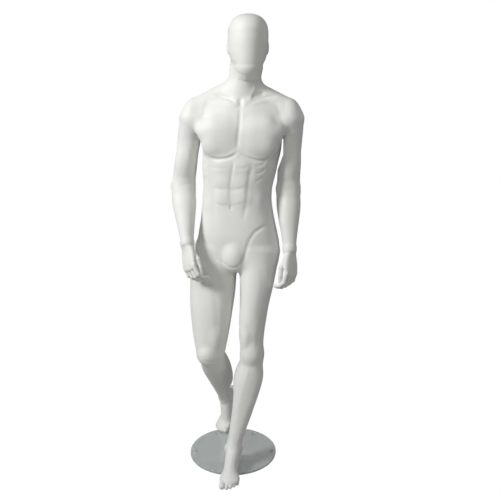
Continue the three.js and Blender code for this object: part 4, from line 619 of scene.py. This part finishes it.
def above_crotch(pair):
    """A form that is there above the crotch only, and blends in more the higher it is."""
    radius, form = pair
    return (lambda z: np.where(z < crotch, REAL(-1), radius * np.minimum((z - crotch) / BLEND, 1))), form


def lower_body(own, other):
    return [*torso_forms, glute(-1), glute(1), groin, *own.forms, above_crotch(other.forms[0])]


def armpit_forms(arm):
    """The forms of an arm, the first of which blends in only from just below the armpit, and more the higher
    it is.
    """
    return [(armpit_blend, arm.forms[0][1]), *arm.forms[1:]]


def arm_body(arm):
    trunk_side = [*torso_forms, (BLEND, neck), *shoulder_fill(arm.side)]
    return [*map(closing_below, trunk_side), *armpit_forms(arm), (ARM_WIDTH / 8, arm.palm)]


upper_body = [
    *torso_forms, (BLEND, neck), *shoulder_fill(-1), *shoulder_fill(1), throat, neck_cord(-1), neck_cord(1),
    *map(closing_below, [*armpit_forms(arms["left"]), *armpit_forms(arms["right"])])]
head_body = [*upper_body, (HEAD_WIDTH / 14, head), chin, ear(-1), ear(1)]

# Seams
SEAM_GAP = 0.2
SHOULDER_SEAM = 166
seams = {
    "waist": (vec(pelvis[0] - SWAY * 0.15, pelvis[1], on_hips(0.262, 0, 0)[2]), UP),
    "neck": (neck_root + neck_frame.ahead * NECK_LENGTH * 0.45, neck_frame.ahead),
    "thigh": (rear_hip + rear_leg.upper.ahead * THIGH * 0.32, rear_leg.upper.ahead),
}
for name, arm in arms.items():
    point = chest.at(0.888 * TRUNK, -DEEP * 0.03, arm.side * SHOULDER_SEAM)
    seams[f"{name}_shoulder"] = (point, chest.side * arm.side)
    seams[f"{name}_wrist"] = (arm.wrist, arm.lower.ahead)


# Camera
CAM = vec(0.075, -2.62, 1.59)
CAM_TILT = math.radians(14)
CAM_FOCAL = 652.0
cam_forward = vec(0, math.cos(CAM_TILT), -math.sin(CAM_TILT))
cam_up = vec(0, math.sin(CAM_TILT), math.cos(CAM_TILT))
camera_data = bpy.data.cameras.new("camera")
camera_data.sensor_width = 36
camera_data.lens = CAM_FOCAL / 500 * 36
camera_data.clip_start, camera_data.clip_end = 0.05, 60
camera = bpy.data.objects.new("camera", camera_data)
camera.location = CAM
camera.rotation_euler = (math.pi / 2 - CAM_TILT, 0, 0)
bpy.context.scene.collection.objects.link(camera)
bpy.context.scene.camera = camera


def pixel_ray(px, py):
    """Direction from the camera through a place in the 500 by 500 picture."""
    return unit(vec(1, 0, 0) * ((px - 250) / CAM_FOCAL) + cam_up * ((250 - py) / CAM_FOCAL) + cam_forward)


# Meshes
MM = 0.001
# In metres: the reach of a cut, how near a seam its points lie, and the shell's wall and rim
CUT_REACH, ON_SEAM, WALL, RIM_DEPTH = 1e-6, 3e-5, 0.004, 0.0135


def to_bmesh(grid):
    places, faces = grid.surface()
    bm = bmesh.new()
    verts = [bm.verts.new(p) for p in places * MM]
    for face in faces:
        bm.faces.new([verts[i] for i in face])
    bm.normal_update()
    if bm.calc_volume(signed=True) < 0:
        bmesh.ops.reverse_faces(bm, faces=bm.faces)
    return bm


def trim(bm, point, normal, chosen=lambda c: True):
    """Cuts a mesh at a plane, given in mm, and takes away what lies beyond it."""
    point, normal = Vector(point * MM), Vector(unit(normal))
    faces = [f for f in bm.faces if chosen(f.calc_center_median())]
    geom = list({*faces, *(e for f in faces for e in f.edges), *(v for f in faces for v in f.verts)})
    bmesh.ops.bisect_plane(bm, geom=geom, plane_co=point, plane_no=normal, dist=CUT_REACH)
    gone = [f for f in bm.faces if chosen(f.calc_center_median())
            and (f.calc_center_median() - point).dot(normal) > 1e-7]
    bmesh.ops.delete(bm, geom=gone, context="FACES")


def open_loops(bm):
    """Ordered rings of points round the open edges."""
    links = {}
    for edge in bm.edges:
        if edge.is_boundary:
            for a, b in (edge.verts, reversed(edge.verts)):
                links.setdefault(a, []).append(b)
    loops, seen = [], set()
    for start in links:
        if start in seen:
            continue
        loop, now, last = [start], start, None
        seen.add(start)
        while True:
            step = next((v for v in links[now] if v is not last and (v not in seen or v is start)), None)
            if step is None or step is start:
                break
            loop.append(step)
            seen.add(step)
            last, now = now, step
        if len(loop) > 8:
            loops.append(loop)
    return loops


def kept_inside(grid, places, way, reach):
    """How far each place can go along its way, up to the reach, and stay inside the form."""
    reaches = np.full((len(places), 1), reach)
    for _ in range(6):
        outside = grid.at((places + way * reaches) / MM) > -0.3
        reaches[outside] *= 0.55
    return reaches


def rim(bm, grid, loop, way):
    """Gives an open seam the edge of a shell: a flat rim, the wall behind it, and an end far inside."""
    p = np.array([v.co for v in loop])
    along = np.roll(p, -5, 0) - np.roll(p, 5, 0)
    area = np.cross(p, np.roll(p, -1, 0)).sum(0).dot(way)
    across = np.cross(way, along) * (1 if area > 0 else -1)
    across /= np.linalg.norm(across, axis=1)[:, None]
    q = p + across * kept_inside(grid, p, across, WALL)
    inner = [bm.verts.new(c) for c in q]
    deep = [bm.verts.new(c) for c in q + way * kept_inside(grid, q, way, RIM_DEPTH)]
    centre = bm.verts.new(q.mean(0) + way * RIM_DEPTH)
    n = len(loop)
    for i in range(n):
        j = (i + 1) % n
        for face in ((loop[i], loop[j], inner[j], inner[i]), (inner[i], inner[j], deep[j], deep[i]),
                     (deep[i], deep[j], centre)):
            bm.faces.new(face)


def lid(bm, loop):
    centre = bm.verts.new(sum((v.co for v in loop), Vector()) / len(loop))
    for i, vert in enumerate(loop):
        bm.faces.new((vert, loop[(i + 1) % len(loop)], centre))


def to_object(bm, name, body, material, node):
    bmesh.ops.recalc_face_normals(bm, faces=bm.faces)
    mesh = bpy.data.meshes.new(name)
    bm.to_mesh(mesh)
    bm.free()
    obj = bpy.data.objects.new(name, mesh)
    bpy.context.scene.collection.objects.link(obj)
    mesh.materials.append(material)
    mesh.shade_smooth()
    mesh.set_sharp_from_angle(angle=math.radians(52))
    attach(obj, body)
    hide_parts(node)


# Materials
class Look:
    """A material built up round its shader, with grains that lie fixed on the object."""

    def __init__(self, name, **values):
        self.material = bpy.data.materials.new(name)
        self.material.use_nodes = True
        self.nodes, self.links = self.material.node_tree.nodes, self.material.node_tree.links
        self.shader = next(n for n in self.nodes if n.type == "BSDF_PRINCIPLED")
        self.set(self.shader, values)

    def set(self, node, values):
        for socket, value in values.items():
            node.inputs[socket.replace("_", " ")].default_value = value

    def node(self, kind, **values):
        node = self.nodes.new("ShaderNode" + kind)
        self.set(node, values)
        return node

    def noise(self, scale, detail, roughness=0.5, stretch=None):
        place = self.node("TexCoord").outputs["Object"]
        if stretch:
            mapping = self.node("Mapping", Scale=stretch)
            self.links.new(place, mapping.inputs["Vector"])
            place = mapping.outputs["Vector"]
        texture = self.node("TexNoise", Scale=scale, Detail=detail, Roughness=roughness)
        self.links.new(place, texture.inputs["Vector"])
        return texture.outputs["Fac"]

    def colour(self, source, low, high):
        tone = self.node("ValToRGB")
        for element, position, colour in zip(tone.color_ramp.elements, (0.3, 0.7), (low, high)):
            element.position, element.color = position, (*colour, 1)
        self.links.new(source, tone.inputs["Fac"])
        self.links.new(tone.outputs["Color"], self.shader.inputs["Base Color"])

    def rough(self, source, low, high):
        share = self.node("MapRange", To_Min=low, To_Max=high)
        self.links.new(source, share.inputs["Value"])
        self.links.new(share.outputs["Result"], self.shader.inputs["Roughness"])

    def bump(self, source, strength, distance):
        node = self.node("Bump", Strength=strength, Distance=distance)
        self.links.new(source, node.inputs["Height"])
        self.links.new(node.outputs["Normal"], self.shader.inputs["Normal"])


def body_paint():
    look = Look("matt_white_paint", IOR=1.46)
    look.colour(look.noise(7, 4, 0.55), (0.735, 0.735, 0.705), (0.775, 0.775, 0.75))
    look.rough(look.noise(40, 3), 0.5, 0.62)
    look.bump(look.noise(900, 2), 0.12, 0.0004)
    return look.material


def plywood():
    look = Look("plywood", Roughness=0.7)
    grain = look.noise(30, 6, 0.6, (6, 1, 1))
    look.colour(grain, (0.36, 0.24, 0.13), (0.62, 0.47, 0.29))
    look.bump(grain, 0.3, 0.0005)
    return look.material


def steel():
    look = Look("brushed_steel", Metallic=1)
    grain = look.noise(160, 4, 0.6, (1, 1, 14))
    look.colour(grain, (0.5, 0.51, 0.52), (0.66, 0.67, 0.68))
    look.rough(grain, 0.24, 0.4)
    return look.material


def rubber(name, low, high):
    look = Look(name, Roughness=0.55)
    look.colour(look.noise(60, 3), low, high)
    return look.material


def glass():
    look = Look("tempered_glass", Transmission_Weight=0.75, Roughness=0.04, IOR=1.5)
    look.colour(look.noise(9, 2), (0.87, 0.925, 0.91), (0.9, 0.945, 0.93))
    return look.material


paint, wood, metal, clear_glass = body_paint(), plywood(), steel(), glass()
clear_rubber = rubber("clear_rubber", (0.72, 0.77, 0.75), (0.8, 0.84, 0.83))
black_rubber = rubber("black_rubber", (0.02, 0.02, 0.022), (0.035, 0.035, 0.037))


# Grids of the body's pieces
TRUNK_STEP, HEAD_STEP, HAND_STEP = 2.5, 2.2, 1.5
HAND_MARGIN = 34
FINGER_BLEND = 4
STUMP_LOW = 760


def torso_grid():
    return Grid((-150, -150, 1080), (245, 150, 1650), TRUNK_STEP).join(upper_body)


def head_grid():
    return Grid((-35, -130, 1600), (175, 125, 1885), HEAD_STEP).join(head_body)


def arm_grid(arm):
    low, high = (165, 305) if arm.side > 0 else (-270, -105)
    return Grid((low, -130, 925), (high, 115, 1585), HEAD_STEP).join(arm_body(arm))


def hand_grid(arm):
    points = np.array([j for joints, _ in arm.fingers for j in joints] + [arm.wrist])
    grid = Grid(points.min(0) - HAND_MARGIN, points.max(0) + HAND_MARGIN, HAND_STEP)
    grid.join([(0, arm.palm), (ARM_WIDTH / 8, arm.forms[1][1])])
    return grid.each(FINGER_BLEND, [chain(joints, radius * np.linspace(1.06, 0.8, len(joints)))
                                    for joints, radius in arm.fingers])


def hips_grid():
    low, high = vec(-195, -330, 8), vec(215, 165, 1112)
    grid = Grid(low, high, TRUNK_STEP).join(lower_body(front_leg, rear_leg))
    grid.each(FINGER_BLEND, front_leg.foot.toes)
    grid.cut(vec(0, 0, GLASS_TOP + TOUCH), -UP)
    base = int((STUMP_LOW - low[2]) / TRUNK_STEP)
    stump = Grid(low + UP * base * TRUNK_STEP, high, TRUNK_STEP).join(lower_body(rear_leg, front_leg))
    point, normal = seams["thigh"]
    stump.cut(point + normal * 5, normal)
    above = grid.values[:, :, base:]
    grid.values[:, :, base:] = np.minimum(above, stump.values[:, :, :above.shape[2]])
    return grid


def rear_leg_grid():
    foot = rear_leg.foot
    grid = Grid((-200, -135, 8), (45, 305, 830), TRUNK_STEP).join(lower_body(rear_leg, front_leg))
    grid.each(FINGER_BLEND, foot.toes)
    grid.cut(foot.frame.at(0, -ANKLE_HEIGHT, 0), -foot.frame.front)
    grid.cut(foot.ball - foot.toe_frame.front * BALL, -foot.toe_frame.front)
    return grid


with ThreadPoolExecutor(4) as pool:
    jobs = {"torso": pool.submit(torso_grid), "head": pool.submit(head_grid),
            "hips_and_front_leg": pool.submit(hips_grid), "rear_leg": pool.submit(rear_leg_grid)}
    for name, arm in arms.items():
        jobs[f"{name}_arm"] = pool.submit(arm_grid, arm)
        jobs[f"{name}_hand"] = pool.submit(hand_grid, arm)
    grids = {name: job.result() for name, job in jobs.items()}


# Modelling on the surface
def first_touch(origin, way, near, far):
    """Where a ray first meets the body, in mm, or None."""
    run = np.arange(near, far, 1.0)
    points = origin + run[:, None] * way
    total = np.full(len(run), FAR)
    for grid in grids.values():
        place = np.round((points - grid.low) / grid.step).astype(int)
        inside = ((place >= 0) & (place < grid.count)).all(1)
        i, j, k = place[inside].T
        total[inside] = np.minimum(total[inside], grid.values[i, j, k])
    hit = np.flatnonzero(total < 0)
    return points[hit[0]] if len(hit) else None


def seen(*places):
    """Points on the body at places of the picture that the camera frames."""
    hits = [first_touch(CAM * 1000, pixel_ray(*place), 1700, 3400) for place in places]
    return [hit for hit in hits if hit is not None]


def behind(*places):
    """Points on the back of the body, at heights and sides in shares of the trunk."""
    points = []
    for height, side in places:
        lean = SWAY * 0.8 * (1 - min(max(height / 0.6, 0), 1))
        spot = on_chest(height, 0, side) - vec(lean, 0, 0)
        points.append(first_touch(vec(spot[0], 400, spot[2]), vec(0, -1, 0), 0, 600))
    return [point for point in points if point is not None]


def stroke(points, view, depth, width, step=0.0, fade=0.25):
    """Presses the surface in along a line; a step lifts it on the left of the line and lowers the right."""
    points = np.array(points, float)
    if len(points) < 2:
        return
    run = np.concatenate([[0], np.cumsum(np.linalg.norm(np.diff(points, axis=0), axis=1))])
    marks = np.linspace(0, run[-1], max(int(run[-1] / 4), 2) + 1)
    line = np.stack([np.interp(marks, run, points[:, i]) for i in range(3)], 1)
    for _ in range(3):
        line[1:-1] = (line[:-2] + 2 * line[1:-1] + line[2:]) / 4
    share = marks / run[-1]
    weights = eased(share / fade) * eased((1 - share) / fade) if fade else np.ones(len(marks))
    reach = width * 2.6
    low, high = line.min(0) - reach, line.max(0) + reach
    for grid in grids.values():
        box = grid.box((low + high) / 2, (high - low) / 2)
        if box is None:
            continue
        x, y, z = grid.axes(box)
        size = [s.stop - s.start for s in box]
        nearest = np.full(size, 1e9, REAL)
        weight, aside = np.zeros(size, REAL), np.zeros(size, REAL)
        for a, b, wa, wb in zip(line, line[1:], weights, weights[1:]):
            way = b - a
            t, gap = from_line(x, y, z, a, way)
            far = squared(gap)
            closer = far < nearest
            nearest = np.where(closer, far, nearest)
            weight = np.where(closer, wa + (wb - wa) * t, weight)
            if step:
                aside = np.where(closer, dot(gap, unit(np.cross(way, view))), aside)
        bell = np.exp(-nearest / REAL(width * width)) * weight
        grid.values[box] += REAL(depth) * bell - REAL(step * 1.6 / width) * aside * bell


def press(rows, find=seen, view=vec(0, 1, -0.2)):
    """Presses strokes in, one after the other. A stroke with one place presses round that place."""
    for places, *sizes in rows:
        points = find(*places)
        if len(places) == 1:
            points = [points[0] + UP * 3, points[0], points[0] - UP * 3]
        stroke(points, view, *sizes)


# Each row holds the places in the picture, then depth, width, step and fade. A depth below 0 swells.
# Breastbone, lower edges of the breast muscles, hollows beside the shoulders
CHEST_STROKES = [
    (((239.5, 105), (240, 114), (239.3, 126), (238, 139), (237, 152)), 3.8, 8),
    (((202.5, 146), (206, 153), (211, 156.8), (218, 158.3), (226, 157.6), (233, 154.8), (238.5, 149)),
     1.5, 7.5, 3.6),
    (((238.5, 150), (246, 156), (256, 159.5), (264, 160), (270, 156), (275.5, 148), (280, 139)), 1.2, 7.5, 3),
    (((209, 97), (204.5, 110), (202, 126)), 1.3, 10),
    (((275, 100), (280.5, 115), (284.5, 130)), 1.3, 10),
]
# Middle line, navel, rows, outer borders, ribs, and the full sides below them
BELLY_STROKES = [
    (((235.5, 157), (232.5, 169), (230.2, 183), (229.8, 195), (230.4, 207)), 1.9, 6),
    (((230.8, 206), (231.2, 209)), 3, 4.2, 0, 0),
    (((207, 166.5), (218, 168.5), (231, 167.5)), 1.3, 6.5),
    (((212, 187.5), (221, 189.5), (229, 189.5)), 1.3, 6.5),
    (((213, 203.5), (221, 205.5), (228.5, 205.5)), 1.3, 6.5),
    (((234, 168.5), (242, 169), (250, 166)), 1.3, 6.5),
    (((231.5, 189.5), (239, 189.5), (246, 186.5)), 1.3, 6.5),
    (((232.5, 205.5), (240, 205), (246, 202)), 1.3, 6.5),
    (((208.5, 163), (210, 176), (212, 190), (213.5, 205), (217, 222)), 2, 8),
    (((252, 160), (250.5, 172), (247.8, 187), (247.3, 198), (245, 212), (241, 226)), 2.6, 9.5),
    (((255, 166), (261, 165.5), (267, 161)), 1.7, 5),
    (((254.5, 173.5), (260, 173), (266, 168.5)), 1.7, 5),
    (((254, 181.5), (259, 180.5), (265, 176)), 1.7, 5),
    (((207, 166), (203.5, 163)), 1.2, 4.5, 0, 0.5),
    (((207.5, 174), (203.5, 170)), 1.2, 4.5, 0, 0.5),
    (((208.5, 181), (204.5, 177)), 1.2, 4.5, 0, 0.5),
    (((260, 200),), -3.5, 26, 0, 0),
    (((206.5, 205),), -2.5, 24, 0, 0),
]
# Folds at the tops of the thighs
GROIN_STROKES = [
    (((271, 224), (262, 227.5), (255, 232.5), (249.8, 240), (246.5, 250), (244.8, 259), (242, 266)),
     3.6, 7.5),
    (((203, 238), (208, 248), (214, 257), (221, 264.5)), 2.6, 8),
    (((219.5, 254), (222.5, 262.5), (229, 267.5), (236, 267.5), (241.8, 263), (243.8, 254)), 3, 5.5),
]
# Collar bones, throat, neck cord and the lower edge of the chin
NECK_STROKES = [
    (((210, 92), (219, 95), (227, 98.3), (234, 102), (239, 106)), 2.8, 6),
    (((210, 96), (220, 98.8), (228, 102), (235, 105.8)), -1.6, 5.5),
    (((248.5, 104), (257, 99.2), (268, 96.6), (280, 96)), 2.2, 6),
    (((247, 107), (258, 103), (269, 100.5)), -1.6, 5.5),
    (((254.5, 96), (262, 93.5)), 3.5, 10, 0, 0),
    (((240.6, 101), (241, 105)), 2.4, 8, 0, 0),
    (((256.5, 82), (254.5, 89), (251.2, 96), (247.5, 102.5)), -1.6, 6.5),
    (((230.5, 63), (233.5, 68.5), (240, 73.6), (246, 75.4), (252, 75), (257.5, 71.5), (262, 64)),
     0.6, 5, 0.4),
]
# Knee, shin and thigh
FRONT_LEG_STROKES = [
    (((244, 349), (248, 354), (254, 353.5)), 0.8, 7),
    (((255.5, 332), (257.6, 341), (256.3, 350)), 1.3, 7),
    (((246, 331), (251, 329.5), (256, 332)), 0.8, 8),
    (((251, 334), (254.5, 337)), 1.2, 4.5, 0, 0),
    (((244.5, 324),), -2, 16, 0, 0),
    (((251, 360), (246.8, 376), (241.8, 392), (238, 408), (235.8, 422)), -1.3, 9),
    (((257, 366), (254.5, 380), (248.5, 398), (242.5, 416)), 0.9, 11),
    (((262, 262), (263, 285), (258.5, 310), (254.8, 328)), 1.6, 13),
]
REAR_LEG_STROKES = [
    (((201.5, 358), (208, 361.5), (216, 361), (224, 357)), 1.5, 6.5, 1.8),
    (((214, 285), (217, 318), (216.5, 345)), 1.4, 11),
]
TENDON_STROKES = [
    (((231, 448), (227, 463), (224.8, 476)), -1.1, 2.6),
    (((233.4, 452), (231, 466), (230, 478)), -1.1, 2.6),
    (((235.4, 454), (234.3, 467), (233.6, 478)), -1.1, 2.6),
    (((237, 456), (237, 468), (236.6, 477)), -1.1, 2.6),
]
# Flank beside the arm, bends of the elbows and borders of the arm muscles
ARM_STROKES = [
    (((284, 148), (281.5, 165), (279, 185), (279.5, 205), (281, 225)), 4.5, 18),
    (((180, 186), (186, 184.8), (193, 181)), 0.9, 9),
    (((191, 150), (192.5, 165), (192.8, 178)), 1.8, 8),
    (((284.5, 186), (289, 189.5), (295, 190)), 0.8, 9),
    (((181, 135), (184, 150), (186, 160)), 1.2, 10),
]
# The back's places are heights and sides in shares of the trunk: the spine and the seat's cleft
SPINE_STROKES = [
    (((0.96, 0), (0.8, 0), (0.6, 0), (0.4, 0), (0.25, 0), (0.14, 0)), 3.4, 11, 0, 0.12),
    (((0.12, 0), (0.04, 0), (-0.04, 0), (-0.1, 0), (-0.14, 0)), 9, 8),
]
# Shoulder blade and its swell, borders of the back muscles, dimples, and folds round the seat
BACK_STROKES = [
    (((0.93, 0.45), (0.85, 0.36), (0.76, 0.42), (0.735, 0.55)), 2.6, 8.5),
    (((0.91, 0.6), (0.8, 0.52)), -3, 26, 0, 0),
    (((0.86, 0.12), (0.76, 0.14), (0.66, 0.03)), 1.6, 9),
    (((0.72, 0.86), (0.56, 0.66), (0.42, 0.42)), 2, 13),
    (((0.55, 0.17), (0.42, 0.17), (0.28, 0.17)), -3.6, 15),
    (((0.14, 0.26), (0.12, 0.25)), 2.2, 9, 0, 0),
    (((-0.115, 0.16), (-0.14, 0.42), (-0.12, 0.72)), 2.6, 9),
    (((0.08, 0.78), (-0.01, 0.82), (-0.08, 0.8)), 2, 18),
]
FROM_BEHIND = vec(0, -1, 0)
for strokes in (CHEST_STROKES, BELLY_STROKES, GROIN_STROKES, NECK_STROKES,
                FRONT_LEG_STROKES, REAR_LEG_STROKES, TENDON_STROKES, ARM_STROKES):
    press(strokes)
press(SPINE_STROKES, behind, FROM_BEHIND)
for s in (-1, 1):
    press([([(height, s * side) for height, side in places], *sizes) for places, *sizes in BACK_STROKES],
          behind, FROM_BEHIND)
shells = {name: to_bmesh(grid) for name, grid in grids.items()}


def seam_cut(bm, seam, sign, chosen=lambda c: True):
    """Keeps the side of a seam that the sign gives, less half of the seam's gap."""
    point, normal = seams[seam]
    trim(bm, point + normal * sign * SEAM_GAP / 2, -normal * sign, chosen)


def seam_rims(bm, grid, seam, sign):
    point, normal = seams[seam]
    face = point * MM + normal * sign * SEAM_GAP / 2 * MM
    for loop in open_loops(bm):
        if all(abs((np.array(v.co) - face).dot(normal)) < ON_SEAM for v in loop):
            rim(bm, grid, loop, normal * sign)


def finish(name, cuts):
    for seam, sign, *chosen in cuts:
        seam_cut(shells[name], seam, sign, *chosen)
    for seam, sign, *_ in cuts:
        seam_rims(shells[name], grids[name], seam, sign)


def finish_arm(name, arm):
    """Cuts an arm at the wrist, at the shoulder's flat seam, and along the flank below the armpit."""
    bm, grid = shells[f"{name}_arm"], grids[f"{name}_arm"]
    seam_cut(bm, f"{name}_wrist", -1)
    point, normal = seams[f"{name}_shoulder"]
    turn = math.radians(-20 * arm.side)
    under = normal * math.cos(turn) + np.cross(chest.front, normal) * math.sin(turn)
    flank = vec(point[0], point[1], armpit_height - DEEP * 0.82) + under * 2.5
    face = point + normal * SEAM_GAP / 2
    planes = [(Vector(face * MM), Vector(normal)), (Vector(flank * MM), Vector(under))]
    for co, no in planes:
        geom = [*bm.verts, *bm.edges, *bm.faces]
        bmesh.ops.bisect_plane(bm, geom=geom, plane_co=co, plane_no=no, dist=CUT_REACH)
    gone = [f for f in bm.faces if all((f.calc_center_median() - co).dot(no) < 0 for co, no in planes)]
    bmesh.ops.delete(bm, geom=gone, context="FACES")
    bmesh.ops.delete(bm, geom=[v for v in bm.verts if not v.link_faces], context="VERTS")
    co, no = planes[0]
    for loop in open_loops(bm):
        on_face = [abs((v.co - co).dot(no)) < ON_SEAM for v in loop]
        if all(on_face):
            rim(bm, grid, loop, np.array(no))
        elif any(on_face):
            n = len(loop)
            first = next(i for i in range(n) if on_face[i] and not on_face[i - 1])
            ordered, flags = loop[first:] + loop[:first], on_face[first:] + on_face[:first]
            run = next((i for i in range(n) if not flags[i]), n)
            rim(bm, grid, ordered[:run], np.array(no))
            lid(bm, [ordered[run - 1], *ordered[run:], ordered[0]])
    seam_rims(bm, grid, f"{name}_wrist", -1)


finish("torso", [("waist", 1), ("neck", -1), ("left_shoulder", -1), ("right_shoulder", -1)])
finish("head", [("neck", 1)])
finish("rear_leg", [("thigh", 1)])
finish("hips_and_front_leg", [("waist", -1), ("thigh", -1, lambda c: c.x < 0.022 and c.z > 0.7)])
for name, arm in arms.items():
    finish_arm(name, arm)
    hand = shells[f"{name}_hand"]
    seam_cut(hand, f"{name}_wrist", 1)
    for loop in open_loops(hand):
        lid(hand, loop)
for name, bm in shells.items():
    node = name if name.endswith("_hand") else f"{name}_shell"
    to_object(bm, f"{name}_form", name, paint, node)


# Glass base and fittings
def lathe(name, profile, centre, sides, material, node):
    bm = bmesh.new()
    rows = []
    for radius, height in profile:
        turns = np.linspace(0, math.tau, sides, endpoint=False) if radius else [0]
        rows.append([bm.verts.new(Vector((centre[0] + radius * math.cos(a), centre[1] + radius * math.sin(a),
                                          height)) * MM) for a in turns])
    for low, high in zip(rows, rows[1:]):
        for i in range(sides):
            j = (i + 1) % sides
            corners = [low[i % len(low)], low[j % len(low)], high[j % len(high)], high[i % len(high)]]
            bm.faces.new(list(dict.fromkeys(corners)))
    to_object(bm, name, "base", material, node)


def rounded(radius, low, high, edge, steps=4):
    """Profile of a disc with rounded edges, from its lower middle to its upper middle."""
    turns = np.linspace(0, math.pi / 2, steps + 1)
    lower = [(radius - edge + edge * math.sin(t), low + edge - edge * math.cos(t)) for t in turns]
    upper = [(radius - edge + edge * math.cos(t), high - edge + edge * math.sin(t)) for t in turns]
    return [(0, low), *lower, *upper, (0, high)]


GLASS_RADIUS, GLASS_LOW, PAD_TOP, BUMPER_PLACE = 190, 7, 6.7, 168
lathe("glass_plate", rounded(GLASS_RADIUS, GLASS_LOW, GLASS_TOP, 1.6, 5), (0, 0), 160, clear_glass,
      "glass_disc")
lathe("centre_pad_form", rounded(16, 0, PAD_TOP, 1.4), (0, 0), 40, clear_rubber, "centre_pad")
for i in range(6):
    angle = i / 6 * math.tau
    place = (math.cos(angle) * BUMPER_PLACE, math.sin(angle) * BUMPER_PLACE)
    lathe(f"rim_bumper_form_{i + 1}", rounded(9, 0, PAD_TOP, 2.2), place, 32, clear_rubber,
          f"rim_bumper_{i + 1}")

for name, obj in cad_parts.items():
    if name.endswith("_gasket"):
        dress = black_rubber
    elif name.endswith("_board"):
        dress = wood
    elif any(word in name for word in ("plate", "stud", "screw", "spigot", "tube")):
        dress = metal
    else:
        continue
    obj.data.materials.clear()
    obj.data.materials.append(dress)


# Floor and light
FLOOR_REACH, FLOOR_HEIGHT = 30, -0.0005
floor_mesh = bpy.data.meshes.new("floor")
corners = [(x * FLOOR_REACH, y * FLOOR_REACH, FLOOR_HEIGHT) for x, y in ((-1, -1), (1, -1), (1, 1), (-1, 1))]
floor_mesh.from_pydata(corners, [], [(0, 1, 2, 3)])
floor = bpy.data.objects.new("floor", floor_mesh)


def pale_floor():
    """A pale sweep: it bounces a little light, and is seen near white."""
    look = Look("pale_floor", Base_Color=(0.45, 0.45, 0.44, 1), Roughness=0.9)
    links = look.links
    glow = look.node("Emission", Strength=1.0)
    path, share, blend = look.node("LightPath"), look.node("Math"), look.node("MixShader")
    share.operation, share.use_clamp = "MULTIPLY_ADD", True
    share.inputs[1].default_value = 0.2
    links.new(path.outputs["Is Transmission Ray"], share.inputs[0])
    links.new(path.outputs["Is Camera Ray"], share.inputs[2])
    output = next(n for n in look.nodes if n.type == "OUTPUT_MATERIAL")
    links.new(share.outputs[0], blend.inputs[0])
    links.new(look.shader.outputs[0], blend.inputs[1])
    links.new(glow.outputs[0], blend.inputs[2])
    links.new(blend.outputs[0], output.inputs["Surface"])
    return look.material


floor_mesh.materials.append(pale_floor())
bpy.context.scene.collection.objects.link(floor)


def area_light(name, place, target, size, power):
    data = bpy.data.lights.new(name, "AREA")
    data.shape, data.size, data.energy = "DISK", size, power
    obj = bpy.data.objects.new(name, data)
    obj.location = place
    obj.rotation_euler = (Vector(target) - Vector(place)).to_track_quat("-Z", "Y").to_euler()
    bpy.context.scene.collection.objects.link(obj)


area_light("key", (-3.0, -1.75, 3.35), (0, 0, 1.25), 1.2, 138)
area_light("front", (-0.4, -3.2, 4.0), (0, 0, 1.4), 1.8, 30)
area_light("fill", (2.6, -3.0, 1.8), (0, 0, 1.2), 1.6, 9)
area_light("edge", (3.0, 1.6, 2.2), (0, 0, 1.1), 1.6, 10)
world = bpy.data.worlds.new("studio")
world.use_nodes = True
world_nodes, world_links = world.node_tree.nodes, world.node_tree.links
background = world_nodes["Background"]
background.inputs["Color"].default_value = (1, 1, 1, 1)
ray_kind = world_nodes.new("ShaderNodeLightPath")
level = world_nodes.new("ShaderNodeMapRange")
level.inputs["To Min"].default_value, level.inputs["To Max"].default_value = 0.19, 1.0
world_links.new(ray_kind.outputs["Is Camera Ray"], level.inputs["Value"])
world_links.new(level.outputs["Result"], background.inputs["Strength"])
bpy.context.scene.world = world
bpy.context.scene.view_settings.view_transform = "Standard"
